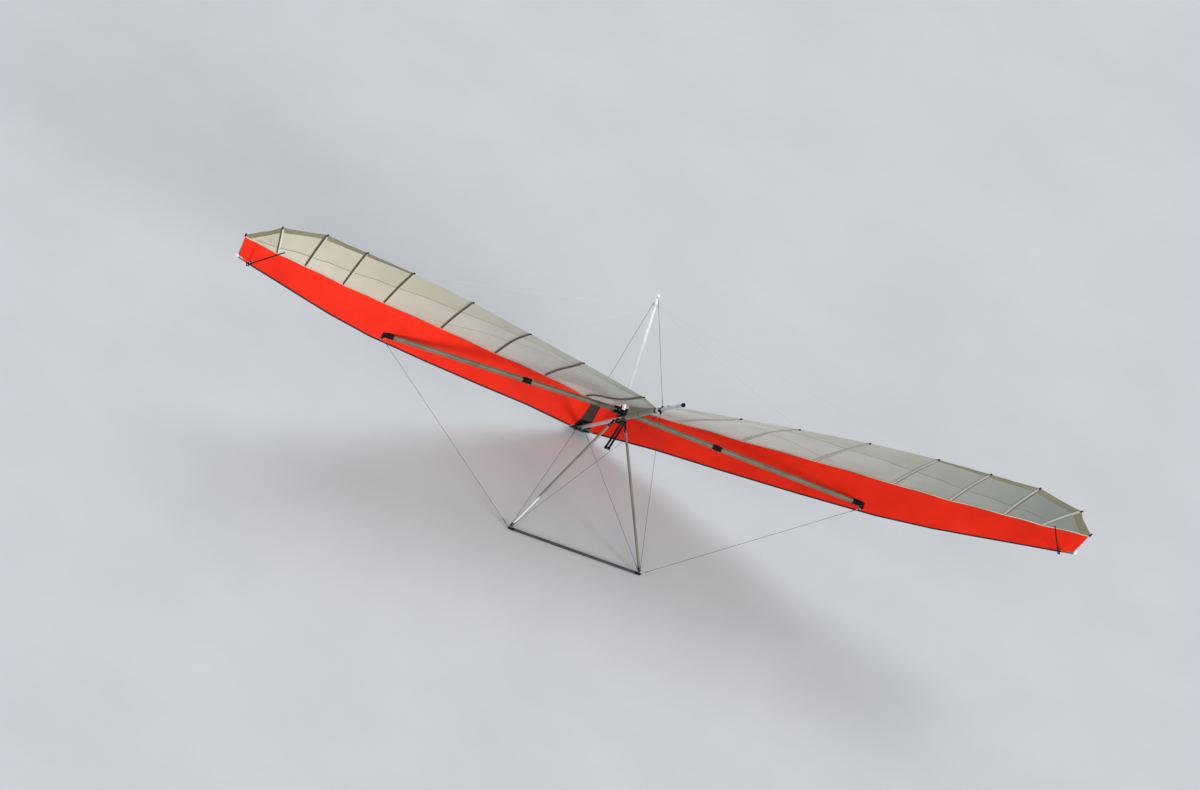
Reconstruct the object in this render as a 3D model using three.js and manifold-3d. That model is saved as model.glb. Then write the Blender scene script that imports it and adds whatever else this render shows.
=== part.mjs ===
import * as THREE from 'three';
import { mergeVertices } from 'three/addons/utils/BufferGeometryUtils.js';
import Module from 'manifold-3d';

// A two-seat hang glider with a kingpost. Lengths are millimetres and angles degrees.
// The glider is laid out as it flies: X to starboard, Y forward and Z up, with the keel's axis
// along Y and the nose at Y = 0. The last group pitches it nose down, as it is parked on the
// floor, on the base bar of its control frame and the bracket at its nose.

const wasm = await Module();
wasm.setup();

const FIT = 0.3;

const KEEL = { frontY: 38, tailY: -3780, radius: 22 };
const KEEL_CAP = { length: 20, radius: 24 };
const NOSE = { plate: 5, halfGap: 26.4, frontY: 52, web: 12, rearY: -130, bevel: 9, lug: 9 };
const NOSE_PLAN = [
  [-36, NOSE.frontY], [36, NOSE.frontY], [125, -32], [97, -85], [40, NOSE.rearY],
  [-40, NOSE.rearY], [-97, -85], [-125, -32],
];
const LEADING_EDGE = { sweep: 0.53, innerX: 48, rootRadius: 26, tipRadius: 22, sides: 12 };
const TIP_CAP = { length: 24, face: 14 };

const SKIN = { thickness: 2.4 };
const BATTEN = { radius: 6, tail: 38, start: 0.08, sunk: 0.75 };

const CROSSBAR = { radius: 30, innerX: 40, centre: [0, -1420, 98], end: [2918, -1606, -16] };
const CROSSBAR_HINGE = { block: [170, 70, 76], pad: [44, 56], boss: 14, topZ: 158 };
const CROSSBAR_END = { length: 118, beyond: 14, radius: 31, opening: 14, leadX: 2952, leadZ: -66 };
const SLEEVE = { x: 1160, length: 105, wall: 3 };
const SIDE_STAY = { offset: [0, 6, -44], ball: 9 };

const APEX = [60, -1503, -27];
const CORNER = [796, -1277, -1535];
const APEX_BRACKET = { block: [84, 56, 52], wings: [150, 34, 12], stub: 13 };
const DOWNTUBE = { radius: 15, topGap: 74, footGap: 32 };
const BASE_BAR = { apothem: 15, sides: 16, halfLength: 774 };
const CORNER_BRACKET = { ball: 14.5, inBar: 11, inTube: 6.5 };

const KINGPOST = { y: -1500, radius: 19, footZ: 104, topZ: 1412 };
const KINGPOST_FOOT = { block: [56, 76, 36], collar: 21 };
const KINGPOST_CAP = { radius: 24, neck: 14, centreZ: 1440 };
const TAIL_BRACKET = { y: -2997, halfLength: 34, wall: 4, lug: 12, lugZ: 38, web: 9 };
const POCKET = { frontY: -1700, rearY: -2790, wall: 2, web: 5 };
const STAY = { radius: 2, sides: 6 };

const SADDLE = { y: -1655, halfLength: 24, play: 1, wall: 5, pinZ: -48, pinRadius: 5, halfWidth: 38 };
const SADDLE_PLATE = { depth: 22, ear: 6, earHeight: 38, cheekZ: -29, cheek: 8 };
const STRAP = { length: 430, width: 25, thickness: 6, centreX: 18 };
const STRAP_EYE = { hole: 5.5, radius: 12 };
const STRAP_LOOP = { hole: 14, radius: 19 };
const STRUT = { root: [4936, -2655, 44], end: [4695, -3077, 235], radius: 7, eye: 10, eyeHalf: 7, bore: 5 };
const STRUT_BRACKET = { pin: 4, cheekGap: 16, cheek: 5, post: 6, postGap: 22, postTop: 44, notch: 44 };

// The ribs of the starboard half, from the keel outwards. leadX and leadZ give the leading edge
// tube's axis, seam is where the lower skin ends under the upper one, trail is the trailing edge
// and rise is how far the open panel stands above the line between them at its quarter points.
const RIBS = [
  { leadX: 150, leadZ: 0, seam: [150, -420, 286], trail: [150, -2690, 118], rise: [8, -22, -25] },
  { leadX: 765, leadZ: 0, seam: [805, -902, 272], trail: [959, -2794, 237], rise: [15, 11, -2] },
  { leadX: 1467, leadZ: -30, seam: [1499, -1156, 277], trail: [1639, -2801, 344], rise: [21, 33, 21] },
  { leadX: 2242, leadZ: -55, seam: [2274, -1512, 279], trail: [2415, -2946, 435], rise: [12, 14, 8] },
  { leadX: 3077, leadZ: -70, seam: [3099, -1898, 268], trail: [3196, -3057, 504], rise: [12, 16, 10] },
  { leadX: 3667, leadZ: -44, seam: [3696, -2208, 256], trail: [3798, -3137, 531], rise: [10, 14, 9] },
  { leadX: 4228, leadZ: 8, seam: [4255, -2494, 260], trail: [4341, -3290, 541], rise: [9, 12, 8] },
  { leadX: 4575, leadZ: 42, seam: [4658, -2678, 260], trail: [4867, -3318, 452], rise: [8, 10, 7] },
  { leadX: 5100, leadZ: 90, seam: [5143, -2925, 279], trail: [5150, -2956, 296], rise: [0, 0, 0] },
];

// The two halves of the sail meet over the keel along this line, which starts behind the nose cone.
const CENTRE_SEAM = {
  x: 1.5, frontY: -270, frontZ: 236, crest: [-420, 283], trail: [-2780, 36], rise: [14, -8, -14],
};

// The skins in rows across the wing: angles round the leading edge tube, then shares of the way
// over the crown, over the open panel and along the lower skin.
const NOSE_ARC = [-60, -30, 0, 30, 60, 90];
const CROWN = [0.25, 0.5, 0.75, 1];
const CROWN_LEAD = 0.44;
const PANEL = [0.25, 0.5, 0.75, 1];
const LOWER_ARC = [-64, -90, -120, -150];
const LOWER_RUN = [0.33, 0.67, 1];
const INNER_EDGE = { leadX: 137, leadZ: 0, seam: [55, -420, 284] };

// The nose cone's centre line as pairs of y and z, from its lower front edge back over the sail.
const CONE = { lift: 10.5, thickness: 3, side: 0.045, hole: 8 };
const CONE_CENTRE = [
  [66, 42], [50, 66], [16, 98], [-40, 140], [-110, 186], [-190, 232], [-270, 262], [-350, 282], [-430, 292],
];

const ORANGE = new THREE.MeshStandardMaterial({ color: 0xf03a1c, roughness: 0.6, metalness: 0 });
const CREAM = new THREE.MeshStandardMaterial({ color: 0xc4c2b4, roughness: 0.7, metalness: 0 });
const ALUMINIUM = new THREE.MeshStandardMaterial({ color: 0x77776a, roughness: 0.45, metalness: 0.7 });
const SILVER = new THREE.MeshStandardMaterial({ color: 0xb9bec4, roughness: 0.35, metalness: 0.8 });
const BLACK = new THREE.MeshStandardMaterial({ color: 0x17171a, roughness: 0.6, metalness: 0.1 });
const STEEL = new THREE.MeshStandardMaterial({ color: 0x4a4d52, roughness: 0.4, metalness: 0.9 });
const WHITE = new THREE.MeshStandardMaterial({ color: 0xeeeeec, roughness: 0.45, metalness: 0.1 });
const WEBBING = new THREE.MeshStandardMaterial({ color: 0x1b1d22, roughness: 0.9, metalness: 0 });

const vec = (p) => new THREE.Vector3(p[0], p[1], p[2]);
const mix = (a, b, t) => a.clone().lerp(b, t);
const forward = new THREE.Vector3(0, 1, 0);
const above = new THREE.Vector3(0, 0, 1);
const flying = new THREE.Group();

// Parking attitude: the floor touches the nose bracket's lower front edge and the base bar.
const noseContact = { y: NOSE.frontY - NOSE.bevel, z: -NOSE.halfGap - NOSE.plate };
const toNose = Math.atan2(noseContact.z - CORNER[2], noseContact.y - CORNER[1]);
const reach = Math.hypot(noseContact.z - CORNER[2], noseContact.y - CORNER[1]);
const PITCH = toNose + Math.asin(BASE_BAR.apothem / reach);
const floorUp = new THREE.Vector3(0, -Math.sin(PITCH), Math.cos(PITCH));

// Solids

function geometryOf(points, triangles) {
  const numbers = points.flatMap((p) => [p.x, p.y, p.z]);
  const geometry = new THREE.BufferGeometry();
  geometry.setAttribute('position', new THREE.Float32BufferAttribute(numbers, 3));
  geometry.setIndex(triangles.flat());
  return geometry;
}

function facingOut(geometry) {
  const index = geometry.getIndex();
  const position = geometry.getAttribute('position');
  const [a, b, c] = [new THREE.Vector3(), new THREE.Vector3(), new THREE.Vector3()];
  let volume = 0;
  for (let i = 0; i < index.count; i += 3) {
    a.fromBufferAttribute(position, index.getX(i));
    b.fromBufferAttribute(position, index.getX(i + 1));
    c.fromBufferAttribute(position, index.getX(i + 2));
    volume += a.dot(b.cross(c));
  }
  if (volume < 0) {
    for (let i = 0; i < index.count; i += 3) {
      const swap = index.getX(i);
      index.setX(i, index.getX(i + 1));
      index.setX(i + 1, swap);
    }
  }
  return geometry;
}

// A closed body through rings of points that all have the same number of points.
function ringLoft(rings) {
  const count = rings[0].length;
  const points = rings.flat();
  const triangles = [];
  for (let r = 0; r + 1 < rings.length; r += 1) {
    for (let k = 0; k < count; k += 1) {
      const a = r * count + k;
      const b = r * count + (k + 1) % count;
      triangles.push([a, b, a + count], [b, b + count, a + count]);
    }
  }
  const last = (rings.length - 1) * count;
  for (let k = 1; k + 1 < count; k += 1) {
    triangles.push([0, k + 1, k], [last, last + k, last + k + 1]);
  }
  return facingOut(geometryOf(points, triangles));
}

// A round bar along a line of points. facet turns its sides so that one flat faces that way.
function bar(points, radius, sides = 12, facet = null) {
  const radii = Array.isArray(radius) ? radius : points.map(() => radius);
  const rings = points.map((point, i) => {
    const before = points[Math.max(i - 1, 0)];
    const after = points[Math.min(i + 1, points.length - 1)];
    const along = after.clone().sub(before).normalize();
    const guide = facet ?? (Math.abs(along.z) > 0.9 ? forward : above);
    const across = guide.clone().addScaledVector(along, -guide.dot(along)).normalize();
    const side = new THREE.Vector3().crossVectors(along, across);
    const turn = facet ? 0.5 : 0;
    return Array.from({ length: sides }, (_, k) => {
      const angle = (k + turn) * 2 * Math.PI / sides;
      return point.clone()
        .addScaledVector(across, radii[i] * Math.cos(angle))
        .addScaledVector(side, radii[i] * Math.sin(angle));
    });
  });
  return ringLoft(rings);
}

// A sheet of even thickness on both sides of a grid of points.
function sheet(grid, thickness) {
  const rows = grid.length;
  const columns = grid[0].length;
  const normalAt = (i, j) => {
    const along = grid[Math.min(i + 1, rows - 1)][j].clone().sub(grid[Math.max(i - 1, 0)][j]);
    const across = grid[i][Math.min(j + 1, columns - 1)].clone().sub(grid[i][Math.max(j - 1, 0)]);
    return along.cross(across).normalize();
  };
  const layer = (side) => grid.flatMap((row, i) => row.map(
    (point, j) => point.clone().addScaledVector(normalAt(i, j), side * thickness / 2)));
  const points = [...layer(1), ...layer(-1)];
  const at = (i, j, under) => (under ? rows * columns : 0) + i * columns + j;
  const triangles = [];
  const quad = (a, b, c, d) => triangles.push([a, b, c], [a, c, d]);
  for (let i = 0; i + 1 < rows; i += 1) {
    for (let j = 0; j + 1 < columns; j += 1) {
      quad(at(i, j, 0), at(i + 1, j, 0), at(i + 1, j + 1, 0), at(i, j + 1, 0));
      quad(at(i, j, 1), at(i, j + 1, 1), at(i + 1, j + 1, 1), at(i + 1, j, 1));
    }
  }
  for (let i = 0; i + 1 < rows; i += 1) {
    quad(at(i, 0, 1), at(i + 1, 0, 1), at(i + 1, 0, 0), at(i, 0, 0));
    quad(at(i, columns - 1, 0), at(i + 1, columns - 1, 0), at(i + 1, columns - 1, 1), at(i, columns - 1, 1));
  }
  for (let j = 0; j + 1 < columns; j += 1) {
    quad(at(0, j, 0), at(0, j + 1, 0), at(0, j + 1, 1), at(0, j, 1));
    quad(at(rows - 1, j, 1), at(rows - 1, j + 1, 1), at(rows - 1, j + 1, 0), at(rows - 1, j, 0));
  }
  return facingOut(geometryOf(points, triangles));
}

function block(size, centre) {
  return new THREE.BoxGeometry(...size).translate(...centre);
}

function ball(centre, radius) {
  return new THREE.SphereGeometry(radius, 10, 6).translate(centre.x, centre.y, centre.z);
}

function solid(geometry) {
  const bare = geometry.clone();
  bare.deleteAttribute('normal');
  bare.deleteAttribute('uv');
  const merged = mergeVertices(bare, 1e-4);
  return new wasm.Manifold(new wasm.Mesh({
    numProp: 3,
    vertProperties: new Float32Array(merged.getAttribute('position').array),
    triVerts: new Uint32Array(merged.getIndex().array),
  }));
}

const join = (...geometries) => geometries.map(solid).reduce((a, b) => a.add(b));
const cut = (body, ...geometries) => geometries.map(solid).reduce((a, b) => a.subtract(b), body);

function fromSolid(body) {
  const mesh = body.getMesh();
  const geometry = new THREE.BufferGeometry();
  geometry.setAttribute('position', new THREE.Float32BufferAttribute(mesh.vertProperties, 3));
  geometry.setIndex(Array.from(mesh.triVerts));
  return geometry;
}

function mirrored(geometry) {
  return facingOut(mergeVertices(geometry.clone().deleteAttribute('normal').scale(-1, 1, 1), 1e-4));
}

function add(name, geometry, material) {
  const mesh = new THREE.Mesh(geometry, material);
  mesh.name = name;
  flying.add(mesh);
}

// The same piece on both sides, made for starboard.
function addPair(name, geometry, material) {
  add(`${name}_starboard`, geometry, material);
  add(`${name}_port`, mirrored(geometry), material);
}

// Leading edge tubes, in rings that the sail's nose radius follows

const sweepLength = Math.hypot(1, LEADING_EDGE.sweep);
const ahead = new THREE.Vector3(LEADING_EDGE.sweep / sweepLength, 1 / sweepLength, 0);
const tipRib = RIBS.at(-1);

const leadPoint = (x, z) => new THREE.Vector3(x, -LEADING_EDGE.sweep * x, z);

function leadRadius(x) {
  const span = (x - LEADING_EDGE.innerX) / (tipRib.leadX - LEADING_EDGE.innerX);
  return THREE.MathUtils.lerp(LEADING_EDGE.rootRadius, LEADING_EDGE.tipRadius, span);
}

function aroundLead(x, z, radius, degrees) {
  const angle = THREE.MathUtils.degToRad(degrees);
  return leadPoint(x, z)
    .addScaledVector(ahead, radius * Math.cos(angle))
    .addScaledVector(above, radius * Math.sin(angle));
}

function leadRing(x, z, radius) {
  const step = 360 / LEADING_EDGE.sides;
  return Array.from({ length: LEADING_EDGE.sides }, (_, k) => aroundLead(x, z, radius, k * step));
}

const leadStations = [{ leadX: LEADING_EDGE.innerX, leadZ: 0 }, ...RIBS];
const leadingEdge = (clearance) => ringLoft(
  leadStations.map(({ leadX, leadZ }) => leadRing(leadX, leadZ, leadRadius(leadX) + clearance)));
addPair('leading_edge', leadingEdge(0), ALUMINIUM);

const tipCap = ringLoft([
  [0, LEADING_EDGE.tipRadius],
  [TIP_CAP.length * 0.6, LEADING_EDGE.tipRadius],
  [TIP_CAP.length, TIP_CAP.face],
].map(([out, radius]) => leadRing(tipRib.leadX + FIT + out, tipRib.leadZ + out * 0.1, radius)));
addPair('tip_cap', tipCap, WHITE);

// Keel

add('keel_tube', bar([vec([0, KEEL.frontY, 0]), vec([0, KEEL.tailY, 0])], KEEL.radius, 16), SILVER);
add('keel_end_cap', bar([
  vec([0, KEEL.tailY - FIT, 0]),
  vec([0, KEEL.tailY - FIT - KEEL_CAP.length, 0]),
], KEEL_CAP.radius, 16), BLACK);

function keelBore(frontY, rearY, clearance) {
  return bar([vec([0, frontY, 0]), vec([0, rearY, 0])], KEEL.radius + clearance, 16);
}

// Nose bracket: two plates over and under the three tubes, joined by a web across their front.
// Its lower front edge is bevelled where it rests on the floor.

const nosePlan = new THREE.Shape(NOSE_PLAN.map(([x, y]) => new THREE.Vector2(x, y)));
const noseHeight = 2 * (NOSE.halfGap + NOSE.plate);
const noseWeb = block([NOSE_PLAN[1][0] * 2, NOSE.web, noseHeight - 1], [0, NOSE.frontY - NOSE.web / 2, 0]);
const noseLug = [52, -88, -NOSE.halfGap - NOSE.plate - 6];
const topLug = [0, 0, NOSE.halfGap + NOSE.plate + 6];

function nosePlate(z) {
  return new THREE.ExtrudeGeometry(nosePlan, { depth: NOSE.plate, bevelEnabled: false }).translate(0, 0, z);
}

function belowFloor() {
  const slab = new THREE.BoxGeometry(400, 300, 60).translate(0, 0, -30);
  slab.rotateX(PITCH);
  return slab.translate(0, noseContact.y, noseContact.z);
}

const noseBracket = cut(join(
  nosePlate(NOSE.halfGap),
  nosePlate(-NOSE.halfGap - NOSE.plate),
  noseWeb,
  ball(vec(noseLug), NOSE.lug),
  ball(vec(noseLug).setX(-noseLug[0]), NOSE.lug),
  ball(vec(topLug), NOSE.lug),
), belowFloor());
add('nose_bracket', fromSolid(noseBracket), BLACK);

// Crossbar in two halves, each with a sleeve, meeting in a socket block over the keel

const crossCentre = vec(CROSSBAR.centre);
const crossEnd = vec(CROSSBAR.end);
const crossAlong = crossEnd.clone().sub(crossCentre).normalize();
const crossAt = (x) => mix(crossCentre, crossEnd, x / CROSSBAR.end[0]);
const crossTube = (fromX, toX, radius) => bar([crossAt(fromX), crossAt(toX)], radius, 16);

const crossOuterX = CROSSBAR.end[0] - CROSSBAR_END.length;
addPair('crossbar', crossTube(CROSSBAR.innerX, crossOuterX, CROSSBAR.radius), ALUMINIUM);

const sleeve = cut(
  solid(crossTube(SLEEVE.x - SLEEVE.length / 2, SLEEVE.x + SLEEVE.length / 2, CROSSBAR.radius + SLEEVE.wall)),
  crossTube(SLEEVE.x - SLEEVE.length, SLEEVE.x + SLEEVE.length, CROSSBAR.radius + FIT));
addPair('crossbar_sleeve', fromSolid(sleeve), BLACK);

// A bar from one height to another at a place on the centre plane
const upright = (y, fromZ, toZ, radius) => bar([vec([0, y, fromZ]), vec([0, y, toZ])], radius, 12);

const crossY = CROSSBAR.centre[1];
const keelTop = KEEL.radius + FIT * 2;
const hingeMiddle = CROSSBAR.centre[2] - 2;
const hingeBlock = block(CROSSBAR_HINGE.block, [0, crossY, hingeMiddle]);
const padHeight = hingeMiddle - CROSSBAR_HINGE.block[2] / 2 + 14 - keelTop;
const hingePad = block([...CROSSBAR_HINGE.pad, padHeight], [0, crossY, keelTop + padHeight / 2]);
const hingeBoss = upright(crossY, hingeMiddle, CROSSBAR_HINGE.topZ, CROSSBAR_HINGE.boss);
const socket = crossTube(CROSSBAR.innerX - 4, 400, CROSSBAR.radius + FIT);
const crossbarHinge = cut(join(hingeBlock, hingePad, hingeBoss), socket, mirrored(socket));
add('crossbar_hinge', fromSolid(crossbarHinge), BLACK);

// Junction of crossbar and leading edge, inside an opening of the lower skin

const sideStayTop = crossEnd.clone().add(vec(SIDE_STAY.offset));
const junction = cut(join(
  crossTube(crossOuterX + FIT, CROSSBAR.end[0] + CROSSBAR_END.beyond, CROSSBAR_END.radius),
  bar([crossEnd, leadPoint(CROSSBAR_END.leadX, CROSSBAR_END.leadZ)], 9, 10),
  bar([crossEnd, sideStayTop], 8, 8),
  ball(sideStayTop, SIDE_STAY.ball),
), leadingEdge(FIT));
addPair('crossbar_end', fromSolid(junction), BLACK);

// Kingpost with its foot on the keel and its cap, which carries the upper stays

const kingFoot = cut(join(
  block(KINGPOST_FOOT.block, [0, KINGPOST.y, KINGPOST_FOOT.block[2]]),
  upright(KINGPOST.y, KINGPOST_FOOT.block[2], KINGPOST.footZ, KINGPOST_FOOT.collar),
), keelBore(0, -3000, FIT));
add('kingpost_foot', fromSolid(kingFoot), BLACK);
add('kingpost', bar([
  vec([0, KINGPOST.y, KINGPOST.footZ + FIT]),
  vec([0, KINGPOST.y, KINGPOST.topZ]),
], KINGPOST.radius, 16), WHITE);
const kingTop = vec([0, KINGPOST.y, KINGPOST_CAP.centreZ]);
const kingCap = join(
  ball(kingTop, KINGPOST_CAP.radius),
  bar([vec([0, KINGPOST.y, KINGPOST.topZ + FIT]), kingTop], KINGPOST_CAP.neck, 16),
);
add('kingpost_cap', fromSolid(kingCap), STEEL);

// Control frame

const apex = vec(APEX);
const corner = vec(CORNER);
const downAlong = corner.clone().sub(apex).normalize();
const downAt = (distance) => apex.clone().addScaledVector(downAlong, distance);
const downLength = apex.distanceTo(corner);
const downtubeEnds = [downAt(DOWNTUBE.topGap), downAt(downLength - DOWNTUBE.footGap)];
addPair('downtube', bar(downtubeEnds, DOWNTUBE.radius, 14), ALUMINIUM);

const apexStub = bar([downAt(8), downAt(DOWNTUBE.topGap - FIT)], APEX_BRACKET.stub, 12);
const apexBracket = cut(join(
  block(APEX_BRACKET.block, [0, APEX[1], APEX[2] - 9]),
  block(APEX_BRACKET.wings, [0, APEX[1], APEX[2] - 17]),
  apexStub,
  mirrored(apexStub),
), keelBore(0, -3000, FIT));
add('apex_bracket', fromSolid(apexBracket), BLACK);

const baseRadius = BASE_BAR.apothem / Math.cos(Math.PI / BASE_BAR.sides);
const baseHalf = vec([BASE_BAR.halfLength, CORNER[1], CORNER[2]]);
const baseEnds = [baseHalf.clone().setX(-BASE_BAR.halfLength), baseHalf];
add('base_bar', bar(baseEnds, baseRadius, BASE_BAR.sides, floorUp.clone().negate()), ALUMINIUM);

const cornerBracket = join(
  ball(corner, CORNER_BRACKET.ball),
  bar([baseHalf.clone().setX(BASE_BAR.halfLength + FIT), corner], CORNER_BRACKET.inBar, 12),
  bar([corner, downAt(downLength - DOWNTUBE.footGap + FIT)], CORNER_BRACKET.inTube, 12),
);
addPair('corner_bracket', fromSolid(cornerBracket), BLACK);

// Tail bracket, a clamp on the keel with a lug above and below

const tailPoint = (z) => vec([0, TAIL_BRACKET.y, z]);
const tailBracket = cut(join(
  bar([
    vec([0, TAIL_BRACKET.y + TAIL_BRACKET.halfLength, 0]),
    vec([0, TAIL_BRACKET.y - TAIL_BRACKET.halfLength, 0]),
  ], KEEL.radius + TAIL_BRACKET.wall, 16),
  ball(tailPoint(TAIL_BRACKET.lugZ), TAIL_BRACKET.lug),
  ball(tailPoint(-TAIL_BRACKET.lugZ), TAIL_BRACKET.lug),
  bar([tailPoint(-TAIL_BRACKET.lugZ), tailPoint(TAIL_BRACKET.lugZ)], TAIL_BRACKET.web, 10),
), keelBore(-2000, -4000, FIT));
add('tail_bracket', fromSolid(tailBracket), BLACK);

// Hinge lines of the washout struts, under the leading edge near the tips

const strutRoot = vec(STRUT.root);
const strutEnd = vec(STRUT.end);
const strutAlong = strutEnd.clone().sub(strutRoot).normalize();
const strutAxis = new THREE.Vector3()
  .crossVectors(strutAlong, new THREE.Vector3(1, -LEADING_EDGE.sweep, 0.1))
  .normalize();
const strutFolded = new THREE.Vector3(-1, LEADING_EDGE.sweep, 0).normalize();
const strutAway = strutAlong.clone().add(strutFolded).normalize().negate();
const strutPost = strutRoot.clone().addScaledVector(strutAway, STRUT_BRACKET.postGap);
const along = (point, distance) => point.clone().addScaledVector(strutAxis, distance);

// Upper skin: round the leading edge, up over the ribs' high crown and back to the trailing edge

function openPanel(seam, trail, rise) {
  return PANEL.map((t, k) => mix(seam, trail, t).addScaledVector(above, rise[k] ?? 0));
}

function upperRow({ leadX, leadZ, seam, trail, rise }) {
  const skinRadius = leadRadius(leadX) + 0.4 + SKIN.thickness / 2;
  const arc = NOSE_ARC.map((degrees) => aroundLead(leadX, leadZ, skinRadius, degrees));
  const seamPoint = vec(seam);
  const panel = openPanel(seamPoint, vec(trail), rise);
  const top = arc.at(-1);
  const slope = seamPoint.clone().sub(panel[0]).normalize();
  const control = seamPoint.clone().addScaledVector(slope, seamPoint.distanceTo(top) * CROWN_LEAD);
  const curve = new THREE.QuadraticBezierCurve3(top, control, seamPoint);
  return [...arc, ...CROWN.map((t) => curve.getPoint(t)), ...panel];
}

function centreRow() {
  const front = vec([CENTRE_SEAM.x, CENTRE_SEAM.frontY, CENTRE_SEAM.frontZ]);
  const crest = vec([CENTRE_SEAM.x, ...CENTRE_SEAM.crest]);
  const trail = vec([CENTRE_SEAM.x, ...CENTRE_SEAM.trail]);
  const count = NOSE_ARC.length + CROWN.length - 1;
  const crown = Array.from({ length: count + 1 }, (_, k) => mix(front, crest, k / count));
  return [...crown, ...openPanel(crest, trail, CENTRE_SEAM.rise)];
}

const upperGrid = [centreRow(), ...RIBS.map(upperRow)];

function batten(rib) {
  const seam = vec(rib.seam);
  const line = [seam, ...openPanel(seam, vec(rib.trail), rib.rise)];
  const tail = line.at(-1).clone().sub(line.at(-2)).normalize();
  const route = [mix(line[0], line[1], BATTEN.start), ...line.slice(1)];
  route.push(line.at(-1).clone().addScaledVector(tail, BATTEN.tail));
  const below = -BATTEN.radius * BATTEN.sunk - SKIN.thickness / 2;
  return bar(route.map((p) => p.addScaledVector(above, below)), BATTEN.radius, 8);
}

const kingHole = bar([vec([0, KINGPOST.y, 60]), vec([0, KINGPOST.y, 400])], KINGPOST.radius + 9, 16);
const bareLead = ringLoft([40, 172].map((x) => leadRing(x, 0, LEADING_EDGE.rootRadius + 3)));
const upperSkin = cut(
  join(sheet(upperGrid, SKIN.thickness), ...RIBS.slice(0, -1).map(batten)),
  kingHole,
  bareLead);
addPair('sail', fromSolid(upperSkin), CREAM);

// Lower skin: under the leading edge and up to the seam, open where the crossbar goes in

function lowerRow({ leadX, leadZ, seam }) {
  const skinRadius = leadRadius(leadX) + 0.4 + SKIN.thickness / 2;
  const arc = LOWER_ARC.map((degrees) => aroundLead(leadX, leadZ, skinRadius, degrees));
  const edge = vec(seam).addScaledVector(above, -SKIN.thickness - 0.6);
  return [...arc, ...LOWER_RUN.map((t) => mix(arc.at(-1), edge, t))];
}

const lowerGrid = [INNER_EDGE, ...RIBS].map(lowerRow);
const crossOpening = crossTube(
  CROSSBAR.end[0] - 270, CROSSBAR.end[0] + 60, CROSSBAR.radius + CROSSBAR_END.opening);
const strutNotch = ball(strutRoot.clone().addScaledVector(above, 12), STRUT_BRACKET.notch);
const lowerSkin = cut(
  solid(sheet(lowerGrid, SKIN.thickness)),
  crossOpening,
  strutNotch,
  ball(sideStayTop, 24));
addPair('lower_skin', fromSolid(lowerSkin), ORANGE);

// Keel pocket: a sleeve of sailcloth round the keel that hangs from the centre of the sail

function centreZ(y) {
  const [crestY, crestZ] = CENTRE_SEAM.crest;
  const [trailY, trailZ] = CENTRE_SEAM.trail;
  const line = openPanel(vec([0, crestY, crestZ]), vec([0, trailY, trailZ]), CENTRE_SEAM.rise);
  const panel = [crestZ, ...line.map((p) => p.z)];
  const t = THREE.MathUtils.clamp((y - crestY) / (trailY - crestY), 0, 0.9999) * 4;
  return THREE.MathUtils.lerp(panel[Math.floor(t)], panel[Math.floor(t) + 1], t % 1);
}

const pocketTop = (y) => centreZ(y) - SKIN.thickness - 1.2;
const pocketYs = [POCKET.frontY, -2190, POCKET.rearY + 40];
const pocketWeb = ringLoft(pocketYs.map((y) => [
  new THREE.Vector3(-POCKET.web / 2, y, 15),
  new THREE.Vector3(POCKET.web / 2, y, 15),
  new THREE.Vector3(POCKET.web / 2, y, pocketTop(y)),
  new THREE.Vector3(-POCKET.web / 2, y, pocketTop(y)),
]));
const pocketSleeve = bar([
  vec([0, POCKET.frontY, 0]),
  vec([0, POCKET.rearY, 0]),
], KEEL.radius + POCKET.wall + FIT, 16);
const keelPocket = cut(join(pocketWeb, pocketSleeve), keelBore(-1000, -3200, FIT));
add('keel_pocket', fromSolid(keelPocket), CREAM);

// Nose cone: a stiff cover over the front of the sail and the nose bracket

function mixRows(a, b, t) {
  return a.map((point, j) => mix(point, b[j], t));
}

const coneSide = mixRows(upperGrid[1], upperGrid[2], CONE.side).slice(1, 1 + CONE_CENTRE.length);

function coneRow(side) {
  const outward = coneSide.map((point, j) => {
    const next = coneSide[Math.min(j + 1, coneSide.length - 1)];
    const before = coneSide[Math.max(j - 1, 0)];
    const along = next.clone().sub(before);
    return point.clone().addScaledVector(new THREE.Vector3(0, along.z, -along.y).normalize(), CONE.lift);
  });
  return outward.map((edge, j) => {
    const centre = new THREE.Vector3(0, ...CONE_CENTRE[j]);
    const row = mix(centre, edge, side * side);
    row.x = side * edge.x;
    return row;
  });
}

const coneHole = bar([vec(topLug), mix(vec(topLug), kingTop, 0.4)], CONE.hole, 10);
const coneHalf = sheet([-0.004, 0.5, 1].map(coneRow), CONE.thickness);
const noseCone = cut(join(coneHalf, mirrored(coneHalf)), coneHole);
add('nose_cone', fromSolid(noseCone), BLACK);

// Washout struts: short tubes hinged under the leading edge near the tips

const { cheekGap, cheek, postTop } = STRUT_BRACKET;
const strutBracket = cut(join(
  bar([along(strutPost, -cheekGap - 3), along(strutPost, postTop)], STRUT_BRACKET.post, 8),
  bar([along(strutPost, cheekGap), along(strutRoot, cheekGap)], cheek, 8),
  bar([along(strutPost, -cheekGap), along(strutRoot, -cheekGap)], cheek, 8),
  bar([along(strutRoot, -cheekGap - 4), along(strutRoot, cheekGap + 4)], STRUT_BRACKET.pin, 10),
), leadingEdge(FIT));
addPair('strut_bracket', fromSolid(strutBracket), BLACK);

const strutTube = cut(join(
  bar([strutRoot.clone().addScaledVector(strutAlong, 4), strutEnd], STRUT.radius, 10),
  bar([along(strutRoot, STRUT.eyeHalf), along(strutRoot, -STRUT.eyeHalf)], STRUT.eye, 12),
), bar([along(strutRoot, 30), along(strutRoot, -30)], STRUT.bore, 10));
addPair('washout_strut', fromSolid(strutTube), BLACK);

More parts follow.
